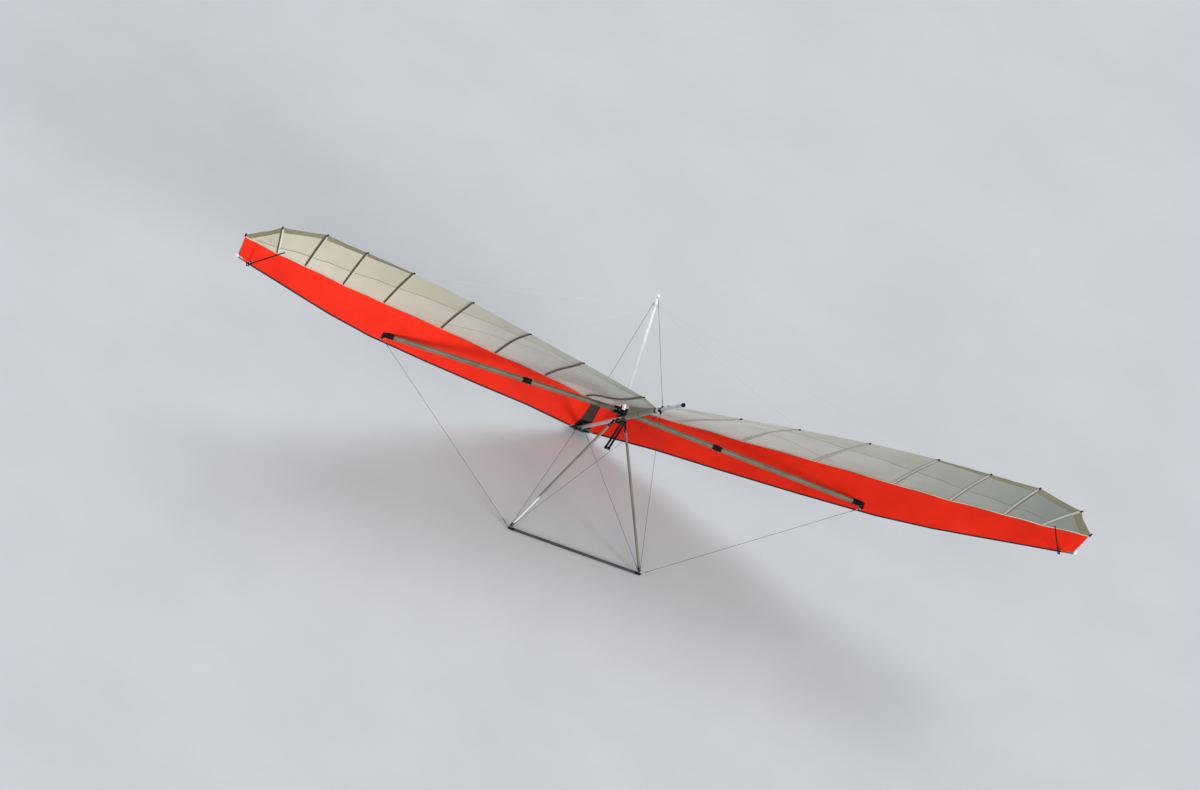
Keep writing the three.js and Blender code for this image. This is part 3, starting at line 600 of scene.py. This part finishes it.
def cream_to_grey(finish, colour):
    """Warmer cloth towards the port tip, greyer and darker towards the starboard tip by painted shade,
    darker behind the span seam.
    """
    behind = finish.span(finish.axis("Y", "UV"), -0.004, 0.004)
    colour = finish.mix(behind, colour, finish.mix(1.0, colour, rgb("F3F2EA"), "MULTIPLY"))
    warm = finish.span(finish.axis("X"), -1.0, -3.2)
    # Painted shade: the cloth turns greyer and darker towards the starboard tip.
    grey = finish.span(finish.axis("X"), 1.6, 4.6)
    starboard_painted_shade = finish.mix(grey, colour, finish.mix(0.85, colour, rgb("7B857F")))
    return finish.mix(warm, starboard_painted_shade, finish.mix(0.5, colour, rgb("D2CAA8")))


def pocket_tape_with_painted_shade():
    """Batten pocket tape: pale on its inboard flank, dark brown grey on the outboard one, where that colour
    is painted shade.
    """
    finish = Finish("tape", Sheen_Weight=0.1, Specular_IOR_Level=0.3)
    across = finish.axis("X", "UV")
    stain = finish.noise(3, 4, "UV")
    pale = finish.mottle(stain, "C4C2B5", "DAD8CC", 0.3, 0.7)
    # The outboard flank's dark brown grey is painted shade.
    dark = finish.mottle(stain, "574E3D", "6E6550", 0.3, 0.7)
    finish.colour(finish.mix(finish.span(across, 0.46, 0.56), pale, dark))
    finish.uneven(20, 3, 0.6, 0.8, "UV")
    finish.bump(finish.wave(70, "Y", "UV"), 0.0003)
    return finish


def cable_finish():
    finish = Finish("cable", Metallic=0.7)
    lay = finish.wave(180, "DIAGONAL", "Object")
    finish.colour(finish.mottle(lay, "1E2024", "45484D", 0.1, 0.9))
    finish.uneven(50, 3, 0.4, 0.6)
    finish.bump(lay, 0.0004)
    return finish


FINISHES = [
    cloth_finish("orange", "EE2A10", "DA220B", (0.55, 0.7), shine=0.10),
    cloth_finish("cream", "CDD1C8", "BFC3BA", tint=cream_to_grey),
    # The strip finish is painted shade for the gap between the lower skins.
    cloth_finish("strip", "42332D", "302621", (0.6, 0.8), crease=0.001),
    cloth_finish("lead_dark_strip", "1B1A20", "111116", (0.5, 0.7), crease=0.001),
    cloth_finish("hem", "8B8768", "7A7659", (0.6, 0.8), crease=0.001),
    cloth_finish("edging", "DAD3BC", "C9C2A9", crease=0.001),
    cloth_finish("dark_cloth", "34353A", "26272B", (0.6, 0.8), crease=0.001),
    cloth_finish("cone", "3C3D42", "2C2D31", (0.4, 0.55), source="Object"),
    cloth_finish("pocket", "8E8C80", "77756A"),
    metal_finish("tube", "807D6B", "6C6957", 0.5, (0.32, 0.46)),
    # The downtube finish carries a painted highlight over the port tube's lower third.
    metal_finish("downtube", "7D7C6D", "6A6A5C", 0.55, (0.3, 0.45), port_painted_highlight, 5),
    metal_finish("base", "4A4B4C", "38393A", 0.5, (0.4, 0.55)),
    metal_finish("silver", "CCD6DE", "B3BEC8", 0.4, (0.26, 0.4)),
    metal_finish("steel", "B7B9BC", "8F9194", 0.95, (0.2, 0.35)),
    metal_finish("dark_steel", "55585C", "3F4246", 0.85, (0.35, 0.5)),
    plastic_finish("black", "0D0E10", "060708", shine=0.12),
    plastic_finish("white", "F4F4F2", "E6E6E3", (0.3, 0.45), 0.0001, 0.45),
    webbing_finish("webbing", "121317", "07080A", shine=0.1),
    cloth_finish("thread", "B9B6A6", "9A978A", crease=0.0005),
    cloth_finish("dark_thread", "5A5B5E", "46474A", crease=0.0005),
    webbing_finish("white_cord", "E6E6E2", "B8B8B2"),
    pocket_tape_with_painted_shade(),
    cable_finish(),
]
MATERIALS = {finish.name: finish.material for finish in FINISHES}

# The finish of the frame pieces by what is in their names, the first that fits. All others are black.
NODE_FINISH = {
    "crossbar_sleeve": "black", "crossbar_hinge": "black", "crossbar_end": "black", "crossbar": "tube",
    "leading_edge": "tube", "tip_cap": "white", "keel_tube": "silver", "kingpost_foot": "black",
    "kingpost": "white", "downtube": "downtube", "base_bar": "base", "hang_saddle": "dark_steel",
    "hang_strap": "webbing", "stay": "cable",
}

for name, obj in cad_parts.items():
    finish = next((NODE_FINISH[key] for key in NODE_FINISH if key in name), "black")
    obj.data.materials.clear()
    obj.data.materials.append(MATERIALS[finish])


# Upper skin

def bore(route, radius):
    return tube(Shape(), route, radius, 24)


def seam_c(x):
    """Where the seam that runs along the span lies, as a chord parameter of the upper skin."""
    return 2 + np.interp(x, [0.12, 1.467, 3.077, 4.95, 5.1], [0.93, 0.74, 0.46, 0.16, 0.16])


def panel_uv(grid, xs, cs):
    """Cloth coordinates whose second one is 0 along the span seam."""
    uv = cloth_uv(grid)
    for row, x in zip(uv, xs):
        row[:, 1] -= np.interp(seam_c(x), cs, row[:, 1])
    return uv


def make_upper(side):
    """One half of the upper skin. Over the keel only its crown and open panel are there, because
    the nose fitting takes up the room in front."""
    cs = steps_between((0, 1, 2, 3), (8, 12, 34))
    behind = cs[cs >= 1]
    outer_x = steps_between(STATIONS, (14, 16, 16, 16, 14, 14, 12, 12))
    inner_x = np.linspace(CENTRE_X, STATIONS[0], 6)
    outer = upper_skin(outer_x[:, None], cs)
    inner = upper_skin(inner_x[:, None], behind)
    shape = shell(Shape(), mirrored(outer, side), CLOTH, panel_uv(outer, outer_x, cs))
    shell(shape, mirrored(inner, side), CLOTH, panel_uv(inner, inner_x, behind))
    obj = shape.make("sail_cloth", "cream", "sailcloth_cream", side, angle=60)
    cut_away(obj, bore([(0, KING_TOP[1], 0.06), (0, KING_TOP[1], 0.42)], 0.028))
    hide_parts(f"sail_{SIDES[side]}")
    return obj, sail_area(outer) + sail_area(inner)


def strip_along(path_x, path_c, widths, offset, side, shape):
    """A flat tape that follows a line of the upper skin. widths are the offsets on both sides of the
    line, in metres, towards the trailing edge."""
    here = upper_skin(path_x, path_c)
    behind = upper_skin(path_x, np.minimum(path_c + 0.02, 3 - 1e-6))
    direction = unit(behind - here)
    rows = grid_of([here + direction * w for w in widths])
    normal = grid_normals(rows)
    rows = rows + normal * np.sign(normal[..., 2:3]) * offset
    uv = np.stack(np.meshgrid(widths, distance_along(here)), -1)
    shell(shape, mirrored(rows, side), TAPE, uv)


HEM_WIDTHS = (0.050, 0.078, 0.105, 0.125)
INNER_HEM_WIDTH = 0.016


def hem(side):
    """The folded hem along the trailing edge, broad and khaki outboard, narrow further in."""
    pieces = []
    for name, start, end, material in (
            ("trailing_hem_outer", STATIONS[4], STATIONS[8], "hem"),
            ("trailing_hem_inner", 0.02, STATIONS[4], "cream")):
        xs = np.linspace(start, end, 110)
        trail = upper_skin(xs, 3)
        inward = unit(upper_skin(xs, 2.85) - trail)
        chord = np.maximum(np.linalg.norm(upper_skin(xs, 2) - trail, axis=-1), 0.004)
        width = np.interp(xs, STATIONS[4:8], HEM_WIDTHS) if material == "hem" else INNER_HEM_WIDTH
        taper = np.minimum(width, chord * 0.8)
        under = [upper_skin(xs, 3 - a * taper / chord) for a in (1.0, 0.8, 0.6, 0.4, 0.2, 0.06)]
        rows = [*(line - (0, 0, 0.0017) for line in under), trail - inward * 0.004,
                *(line + (0, 0, 0.0017) for line in under[::-1])]
        shape = cloth(Shape(), grid_of(rows), FOLDED, side)
        pieces.append(shape.make(name, material, "sailcloth_cream", side))
        if material == "hem":
            seam = Shape()
            inside = xs < STATIONS[8] - 0.03
            line = 3 - (taper + 0.003) / chord
            strip_along(xs[inside], line[inside], (-0.0022, 0, 0.0022), -0.0016, side, seam)
            pieces.append(seam.make("hem_seam", "dark_cloth", "sailcloth_cream", side))
    return pieces


# Across a batten pocket: the place beside the batten and the drop below the upper skin.
POCKET_OUTLINE = [
    (-0.0135, 0.0016), (-0.0120, 0.0022), (-0.0100, 0.0068), (-0.006, 0.0118), (0.0, 0.0138),
    (0.006, 0.0118), (0.0105, 0.0068), (0.014, 0.0020), (0.024, 0.0016)]


def batten_pockets(side):
    """A sewn pocket over each batten, under the upper skin."""
    shape = Shape()
    cs = np.linspace(2.02, 3.0, 40)
    for x in BATTENS:
        rows = grid_of([upper_skin(x + across, cs) - (0, 0, drop) for across, drop in POCKET_OUTLINE])
        uv = np.stack(np.meshgrid(np.linspace(0, 1, rows.shape[1]), distance_along(rows[:, 4])), -1)
        shell(shape, mirrored(rows, side), FOLDED, uv)
    # The tape finish paints shade on each pocket's outboard flank.
    return shape.make("batten_pockets", "tape", "sailcloth_cream", side)


# One prong of a batten's forked tip: the place along the batten and beside it.
PRONG = ((0.022, 0.002), (0.031, 0.0065), (0.040, 0.009))


def batten_ends(side):
    """The rod ends, their black forked tips and the cord loops that hold them behind the hem."""
    rods, tips, loops = Shape(), Shape(), Shape()
    for x in STATIONS:
        line = upper_skin(x, [2.93, 3.0])
        along = unit(line[1] - line[0])
        end = line[1] + (0, 0, -BATTEN_RADIUS * 0.75)
        across = unit(np.cross(along, [0, 0, 1.0]))
        tube(rods, mirrored([end - along * 0.03, end + along * 0.012], side), 0.0052, 14)
        clip = [end + along * d for d in (-0.022, -0.020, 0.022, 0.026)]
        tube(tips, mirrored(clip, side), [0.0070, 0.0088, 0.0088, 0.0062], 16)
        for outward in (-across, across):
            prong = [end + along * d + outward * w for d, w in PRONG]
            tube(tips, mirrored(prong, side), [0.0044, 0.0038, 0.0026], 10)
            t = np.linspace(0, 1, 14)[:, None]
            start = end - along * 0.034 + outward * 0.013
            stop = end + along * 0.033 + outward * 0.003
            bow = outward * 0.006 * np.sin(math.pi * t) - (0, 0, 0.004)
            tube(loops, mirrored(start + (stop - start) * t + bow, side), 0.0013, 8)
    return [rods.make("batten_rods", "silver", "sailcloth_cream", side),
            tips.make("batten_tips", "black", "black_fitting", side),
            loops.make("batten_loops", "dark_cloth", "sailcloth_cream", side)]


def upper_seams(side):
    """Lapped seams along the span on the underside, and the seams and stitch lines on the top."""
    tapes, stitches = Shape(), Shape()
    xs = np.linspace(0.12, 4.95, 140)
    strip_along(xs, seam_c(xs), (-0.0065, 0, 0.0065), -0.0012, side, tapes)
    strip_along(xs, seam_c(xs), (-0.0075, 0, 0.0075), 0.0012, side, tapes)
    xs = np.linspace(0.10, 2.4, 90)
    share = np.interp(xs, [0.10, 2.4], [0.985, 0.10])
    strip_along(xs, 2 + share, (-0.004, 0, 0.004), -0.0012, side, tapes)
    xs = np.linspace(0.42, 5.04, 140)
    for c in (1.56, 1.985):
        strip_along(xs, c, (-0.006, 0, 0.006), 0.0012, side, tapes)
    cs = np.linspace(1.1, 2.97, 60)
    for x in (*(BATTENS[1:] - 0.016), *(BATTENS + 0.016)):
        tube(stitches, mirrored(upper_skin(x, cs) + (0, 0, 0.0010), side), 0.0009, 5)
    return [tapes.make("sail_seams", "pocket", "sailcloth_cream", side),
            stitches.make("batten_stitching", "thread", "sailcloth_cream", side)]


def edging(side):
    """The pale tape that covers the join between the lower skin and the open panels."""
    shape = Shape()
    strip_along(steps_between(STATIONS, [10] * 8), 2.001, (-0.002, 0.008, 0.020), -0.0042, side, shape)
    return shape.make("seam_edging", "edging", "sailcloth_cream", side)


# Lower skin

# The opening in the lower skin round the strut's root: height and radius.
STRUT_OPENING = [
    (-0.034, 0.006), (-0.026, 0.022), (-0.014, 0.031), (0, 0.034), (0.014, 0.031), (0.026, 0.022),
    (0.034, 0.006)]


def make_lower(side):
    """One half of the lower skin, with openings for the crossbar, the side stay and the strut."""
    xs = steps_between([INNER_EDGE[0], *STATIONS], (6, 18, 20, 22, 26, 20, 20, 16, 22))
    grid = lower_skin(xs[:, None], steps_between((0, 1, 2), (8, 26)))
    shape = cloth(Shape(), grid, CLOTH, side)
    obj = shape.make("lower_cloth", "orange", "sailcloth_orange", side, angle=60)
    along = unit(CROSS_END - CROSS_CENTRE)
    cross = bore(mirrored([CROSS_END - along * 0.30, CROSS_END + along * 0.022], side), 0.038)
    stay = bore(mirrored([SIDE_STAY_TOP + (0, 0, 0.05), SIDE_STAY_TOP - (0, 0, 0.05)], side), 0.024)
    notch = Shape()
    turned(notch, mirrored(STRUT_ROOT + (0, 0, 0.012), side), (0, 0, 1), STRUT_OPENING, 24)
    cut_away(obj, cross, stay, notch)
    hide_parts(f"lower_skin_{SIDES[side]}")
    return obj, sail_area(grid)


def leading_tape(side):
    """The dark strip under the leading edge, from where the two skins meet to the flat cloth."""
    xs = steps_between(STATIONS, [14] * 8)
    xs = xs[xs < LEAD_ENDS[1] - TIP_BARE]
    rows = lower_skin(xs[:, None], np.linspace(0, 1, 9))
    outward = grid_normals(rows)
    outward *= -np.sign(outward[:, -1:, 2:3])
    shape = cloth(Shape(), rows + outward * 0.0014, 0.0008, side)
    return shape.make("leading_edge_tape", "lead_dark_strip", "sailcloth_orange", side)


for side in SIDES:
    upper, upper_area = make_upper(side)
    lower, lower_area = make_lower(side)
    upper_trim = [*hem(side), batten_pockets(side), *batten_ends(side), *upper_seams(side), edging(side)]
    lower_trim = [leading_tape(side)]


# Keel pocket, centre strip and nose cone

def keel_band(shape, y, radius, degrees, offsets, thickness):
    """A strip round the keel. degrees are its points round the keel and offsets its lines along it."""
    around = np.radians(degrees)
    cloth(shape, np.array([[(radius * math.cos(a), y + d, radius * math.sin(a)) for a in around]
                           for d in offsets]), thickness)


def keel_pocket():
    """A cloth sleeve round the keel that hangs by a double web from the sail's centre seam."""
    front, rear, web_rear = -1.700, -2.790, -2.750
    rows = []
    for y in np.linspace(front, rear, 46):
        t = np.clip((y - CENTRE_ROW[1]) / (CENTRE_ROW[4] - CENTRE_ROW[1]), 0, 1)
        top = CENTRE_ROW[2] + (CENTRE_ROW[5] - CENTRE_ROW[2]) * t - 0.0035
        top += panel_rise(np.array(t), CENTRE_ROW[6:9])
        top = 0.030 if y < web_rear else max(top, 0.034)
        pull = 0.0012 * math.sin(58 * y) + 0.0008 * math.sin(23 * y + 1)
        around = np.radians(np.linspace(72, -252, 25))
        ring = [(0.0238 * math.cos(a), 0.0238 * math.sin(a)) for a in around]
        rise = np.linspace(top, 0.030, 7)
        wave = pull * np.sin(np.linspace(0, math.pi, 7))
        right = [(0.0022 + w, z) for w, z in zip(wave, rise)]
        left = [(-0.0022 + w, z) for w, z in zip(wave, rise)]
        rows.append([(x, y, z) for x, z in [*right, *ring, *left[::-1]]])
    grid = np.array(rows)
    obj = cloth(Shape(), grid, POCKET_CLOTH).make("keel_pocket_cloth", "pocket", "pocket_cloth", angle=70)
    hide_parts("keel_pocket")
    bands = Shape()
    for y in (front - 0.008, -2.2, rear + 0.010):
        keel_band(bands, y, 0.0252, np.linspace(70, -250, 26), (-0.009, -0.003, 0.003, 0.009), 0.0010)
    trim = bands.make("keel_pocket_bands", "dark_cloth", "pocket_cloth")


def centre_gap_shade():
    """A dark sheet between the two lower skins, from the nose fitting to the crest: painted shade that
    stands in for the shaded gap there.
    """
    edge = lower_skin(INNER_EDGE[0] + 0.004, np.linspace(1.26, 1.985, 20))
    grid = np.array([[(u * (x + 0.006), y, z + 0.003 + 0.012 * (1 - u * u)) for u in np.linspace(-1, 1, 13)]
                     for x, y, z in edge])
    obj = cloth(Shape(), grid, POCKET_CLOTH).make("centre_gap_shade", "strip", "cone_cloth", angle=60)


# The nose cone: its height above the skin and its half width there, its middle line and the skin's chord
# parameters beside the points of that line.
CONE_LIFT = 0.0105
CONE_SIDE_X = 0.1777
CONE_CENTRE = 0.001 * np.array([
    [66, 42], [50, 66], [16, 98], [-40, 140], [-110, 186], [-190, 232], [-270, 262], [-350, 282],
    [-430, 292]])
CONE_C = (0.2, 0.4, 0.6, 0.8, 1.0, 1.25, 1.5, 1.75, 2.0)


def cone_grid():
    steps = np.linspace(0, 8, 49)
    knots = np.arange(9.0)
    centre = smooth_rows(knots, CONE_CENTRE, steps)
    cs = np.interp(steps, knots, CONE_C)
    edge = upper_skin(CONE_SIDE_X, cs)
    along = np.gradient(edge, axis=0)
    edge = edge + CONE_LIFT * unit(np.stack([np.zeros(len(cs)), along[:, 2], -along[:, 1]], -1))
    middle = np.stack([np.zeros(len(cs)), centre[:, 0], centre[:, 1]], -1)
    rows = []
    for u in np.linspace(-1, 1, 41):
        row = middle + (edge - middle) * u * u
        row[:, 0] = u * edge[:, 0]
        rows.append(row)
    return np.array(rows)


def nose_cone():
    grid = cone_grid()
    obj = cloth(Shape(), grid, 0.0016).make("nose_cone_cloth", "cone", "cone_cloth", angle=60)
    cut_away(obj, bore([(0, 0, 0.05), TOP_LUG + (KING_TOP - TOP_LUG) * 0.3], 0.008))
    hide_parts("nose_cone")
    border = [*grid[0], *grid[1:, -1], *grid[-1, -2::-1], *grid[-2::-1, 0]]
    piping = Shape()
    tube(piping, border, 0.0022, 8)
    trim = piping.make("nose_cone_piping", "dark_cloth", "cone_cloth")


keel_pocket()
centre_gap_shade()
nose_cone()


# Rigging beyond the main stays

def luff_lines(side):
    """Light lines from the kingpost to the trailing edge, which hold it up in a dive."""
    shape, ends = Shape(), Shape()
    for k in (2, 4):
        foot = upper_skin([STATIONS[k]], 3)[0] + (0, 0.004, 0.004)
        start = LUFF_TOP + unit(foot - LUFF_TOP) * (0.020, 0.020, 0)
        t = np.linspace(0, 1, 33)[:, None]
        sag = 0.022 * np.linalg.norm(foot - start) * 4 * t * (1 - t)
        floor_down = np.array([0, -PITCH_SIN, -PITCH_COS])
        route = start + (foot - start) * t + floor_down * sag
        tube(shape, mirrored(route, side), 0.0011, 6)
        turned(ends, mirrored(foot, side), mirrored(unit(start - foot), side),
               [(0, 0.003), (0.002, 0.0050), (0.026, 0.0050), (0.030, 0.002)], 12)
    turned(ends, mirrored(LUFF_TOP, side), (0, 0, 1), [
        (-0.012, 0.0195), (-0.010, 0.0212), (0.010, 0.0212), (0.012, 0.0195)], 24)
    shape.make("luff_lines", "white_cord", "stay_cable", side)
    ends.make("luff_line_ends", "white", "steel_fitting", side)


# The main stays: one end and the radius of its eye, the same for the other end, and whether there is one
# on each side.
LOW_TAIL = np.array([0, TAIL_Y, -0.038])
HIGH_TAIL = np.array([0, TAIL_Y, 0.038])
STAYS = [
    (NOSE_LUG, 0.009, CORNER, 0.0145, True), (LOW_TAIL, 0.012, CORNER, 0.0145, True),
    (SIDE_STAY_TOP, 0.009, CORNER, 0.0145, True),
    (KING_TOP, 0.024, TOP_LUG, 0.009, False), (KING_TOP, 0.024, HIGH_TAIL, 0.012, False),
]
# What is pressed on a stay's end: the distance from the eye and the radius.
EYE_SLEEVE = [(-0.003, 0.0035), (0.003, 0.0052), (0.010, 0.0052), (0.014, 0.0034)]
CABLE_SLEEVE = [
    (0.030, 0.0026), (0.032, 0.0042), (0.039, 0.0042), (0.041, 0.0036), (0.043, 0.0042), (0.050, 0.0042),
    (0.052, 0.0026)]
CABLE_SHEATH = [(0.056, 0.0026), (0.058, 0.0034), (0.115, 0.0032), (0.120, 0.0024)]


def stay_fittings():
    """Pressed sleeves and plastic sheaths at the ends of the main stays."""
    metal, sheath = Shape(), Shape()
    for a, ra, b, rb, both in STAYS:
        for side in SIDES if both else (1,):
            start, end = mirrored(a, side), mirrored(b, side)
            way = unit(end - start)
            for origin, axis, eye in ((start, way, ra), (end, -way, rb)):
                for shape, outline, sides in (
                        (metal, EYE_SLEEVE, 14), (metal, CABLE_SLEEVE, 14), (sheath, CABLE_SHEATH, 12)):
                    turned(shape, origin, axis, [(eye + d, r) for d, r in outline], sides)
    metal.make("stay_sleeves", "steel", "steel_fitting")
    sheath.make("stay_sheaths", "black", "black_fitting")


# Bolts: places in the nose plates, and stations along the crossbar with the radius there.
NOSE_BOLTS = ((0.078, -0.0413), (0.102, -0.054), (0.0, 0.022), (0.0, -0.112))
CROSSBAR_BOLTS = ((1.125, 0.033), (1.195, 0.033), (2.825, 0.031), (2.885, 0.031))


def bolt_pair(shape, place, reach, radius, head=0.005):
    """Bolt heads on both sides of a place, as far away as reach is long and in its direction."""
    for step in (np.array(reach), -np.array(reach)):
        bolt(shape, place + step, step, radius, head)


def fasteners():
    """Bolts of the airframe's fittings."""
    shape = Shape()
    for side in SIDES:
        for x, y in NOSE_BOLTS:
            if x or side == 1:
                bolt_pair(shape, (side * x, y, 0), (0, 0, 0.0314), 0.0045)
        for x in (0.030, 0.068):
            bolt_pair(shape, (side * x, CROSS_CENTRE[1], 0.096), (0, 0.035, 0), 0.0045)
        bolt_pair(shape, (side * 0.026, APEX[1], -0.036), (0, 0.028, 0), 0.0045)
        for y in (0.022, -0.022):
            bolt(shape, (side * 0.028, KING_TOP[1] + y, 0.036), (side, 0, 0), 0.004)
        for place in (APEX + DOWN * 0.092, CORNER - DOWN * 0.052):
            bolt_pair(shape, mirrored(place, side), (0, 0.0148, 0), 0.0032, 0.004)
        for x, radius in CROSSBAR_BOLTS:
            place = CROSS_CENTRE + (CROSS_END - CROSS_CENTRE) * x / CROSS_END[0]
            bolt_pair(shape, mirrored(place, side), (0, 0, radius), 0.0035, 0.004)
        along = unit(np.cross(unit(STRUT_END - STRUT_ROOT), (1, -SWEEP, 0.1)))
        bolt_pair(shape, mirrored(STRUT_ROOT, side), mirrored(along * 0.021, side), 0.0034, 0.004)
    bolt_pair(shape, (0, TAIL_Y, 0), (0.0255, 0, 0), 0.004)
    shape.make("airframe_bolts", "steel", "steel_fitting")


# A cord along the tail: the share of its sideways place, its place along the keel and its rise.
CORD_RUN = (
    (1, -2.78, 0.002), (1, -2.83, 0.004), (1.05, -2.86, 0.003), (1, -2.89, 0.003), (0.9, -2.93, 0.006),
    (0.8, -2.962, 0.004))


def tail_lashing():
    """Webbing and cord that hold the sail's centre back to the tail."""
    web, cord = Shape(), Shape()
    for y in (-2.815, -2.945):
        keel_band(web, y, 0.0240, np.linspace(0, 360, 33), (-0.0125, -0.004, 0.004, 0.0125), 0.0020)
    t = np.linspace(0, 1, 9)
    for side in SIDES:
        line = np.stack([side * (0.022 - 0.004 * t), -2.772 - 0.045 * t, 0.036 - 0.020 * t], -1)
        cloth(web, grid_of([line + (0, 0, d) for d in (-0.006, 0, 0.006)]), 0.0018)
    turns = np.linspace(0, 7 * 2 * math.pi, 180)
    advance = 0.0042 * turns / (2 * math.pi)
    helix = np.stack([0.0246 * np.cos(turns), -2.862 - advance, 0.0246 * np.sin(turns)], -1)
    tube(cord, helix, 0.0020, 8)
    for x, z in ((0.014, 0.0215), (-0.012, 0.0225), (0.006, -0.0245)):
        run = np.array([(x * share, y, z + rise) for share, y, rise in CORD_RUN])
        tube(cord, smooth_rows(np.arange(6.0), run, np.linspace(0, 5, 30)), 0.0018, 8)
    t = np.linspace(0, 2 * math.pi, 25)
    for y in (-2.858, -2.896):
        for a in (0.6, -0.6):
            knot = (0, y, 0.0285) + np.stack([
                0.0075 * np.cos(t), 0.0045 * np.sin(t) * math.cos(a), 0.0035 * np.sin(t + a)], -1)
            tube(cord, knot, 0.0019, 8)
    web.make("tail_webbing", "webbing", "webbing")
    cord.make("tail_lashing", "white_cord", "webbing")


def strap_stitching(side):
    """Box stitches through the webbing of a hang strap, above its lower loop and under its eye."""
    shape = Shape()
    pin = mirrored(STRAP_PIN, side)
    half = 0.0095
    for top, bottom in ((-0.026, -0.082), (-0.345, -0.402)):
        a, b, c, d = (-half, top), (half, top), (half, bottom), (-half, bottom)
        for y in (0.0032, -0.0032):
            for (x0, z0), (x1, z1) in ((a, b), (b, c), (c, d), (d, a), (a, c), (b, d)):
                route = [pin + (x0, y, z0), pin + ((x0 + x1) / 2, y, (z0 + z1) / 2), pin + (x1, y, z1)]
                tube(shape, route, 0.0006, 6)
    shape.make("strap_stitching", "dark_thread", "webbing", side,
               body=f"strap_{SIDES[side]}", stance=lambda p: p)


def frame_trim(side):
    """Plastic collars on the downtube and the base bar."""
    shape = Shape()
    for origin, axis, length, rim, radius in (
            (APEX + DOWN * 0.076, DOWN, 0.030, 0.0155, 0.0168),
            (CORNER - DOWN * 0.070, DOWN, 0.036, 0.0155, 0.0168),
            ((0.735, CORNER[1], CORNER[2]), (1, 0, 0), 0.036, 0.0152, 0.0162)):
        turned(shape, mirrored(origin, side), mirrored(axis, side), [
            (0, rim), (0.001, radius), (length, radius), (length + 0.002, rim)], 28)
    shape.make("frame_collars", "black", "black_fitting", side)


for side in SIDES:
    luff_lines(side)
    strap_stitching(side)
    frame_trim(side)
stay_fittings()
fasteners()
tail_lashing()


# Camera, light and floor

CAMERA_RIGHT = (0.907749, 0.019904, 0.419041)
CAMERA_UP = (-0.322581, 0.671719, 0.666884)
CAMERA_BACK = (-0.268204, -0.740538, 0.616173)
VIEW_WIDTH = 13.284
VIEW_SHIFT = (0.22932, 0.35982)


def stage():
    data = bpy.data.cameras.new("camera")
    data.type = "ORTHO"
    data.ortho_scale = VIEW_WIDTH
    data.clip_end = 200
    camera = new_object("camera", data)
    right, up, back = (Vector(v).normalized() for v in (CAMERA_RIGHT, CAMERA_UP, CAMERA_BACK))
    target = Vector(NOSE_PLACE) + right * VIEW_SHIFT[0] + up * VIEW_SHIFT[1]
    turn = Matrix((right, up, back)).transposed().to_4x4()
    camera.matrix_world = Matrix.Translation(target + back * 30) @ turn
    bpy.context.scene.camera = camera

    bpy.ops.mesh.primitive_plane_add(size=120, location=(0, 0, 0))
    floor = bpy.context.object
    floor.name = "floor"
    finish = Finish("pale_floor")
    finish.colour(finish.mottle(finish.noise(0.6, 3), "BEC0C3", "C4C6C9", 0.3, 0.7))
    finish.uneven(4, 3, 0.7, 0.85)
    floor.data.materials.append(finish.material)

    world = bpy.data.worlds.new("studio")
    world.use_nodes = True
    background = world.node_tree.nodes["Background"]
    background.inputs["Color"].default_value = (0.93, 0.96, 1.0, 1)
    background.inputs["Strength"].default_value = 0.62
    bpy.context.scene.world = world

    for name, direction, energy, angle in (
            ("key_light", (0.80, -0.58, 0.22), 2.1, 14),
            ("fill_light", (-0.4, -0.85, 0.7), 0.75, 40),
            ("back_light", (0.1, 0.7, 1.3), 0.9, 40)):
        lamp = bpy.data.lights.new(name, "SUN")
        lamp.energy = energy
        lamp.angle = math.radians(angle)
        light = new_object(name, lamp)
        light.rotation_euler = Vector(direction).to_track_quat("Z", "Y").to_euler()
    bpy.context.scene.view_settings.view_transform = "Standard"


stage()
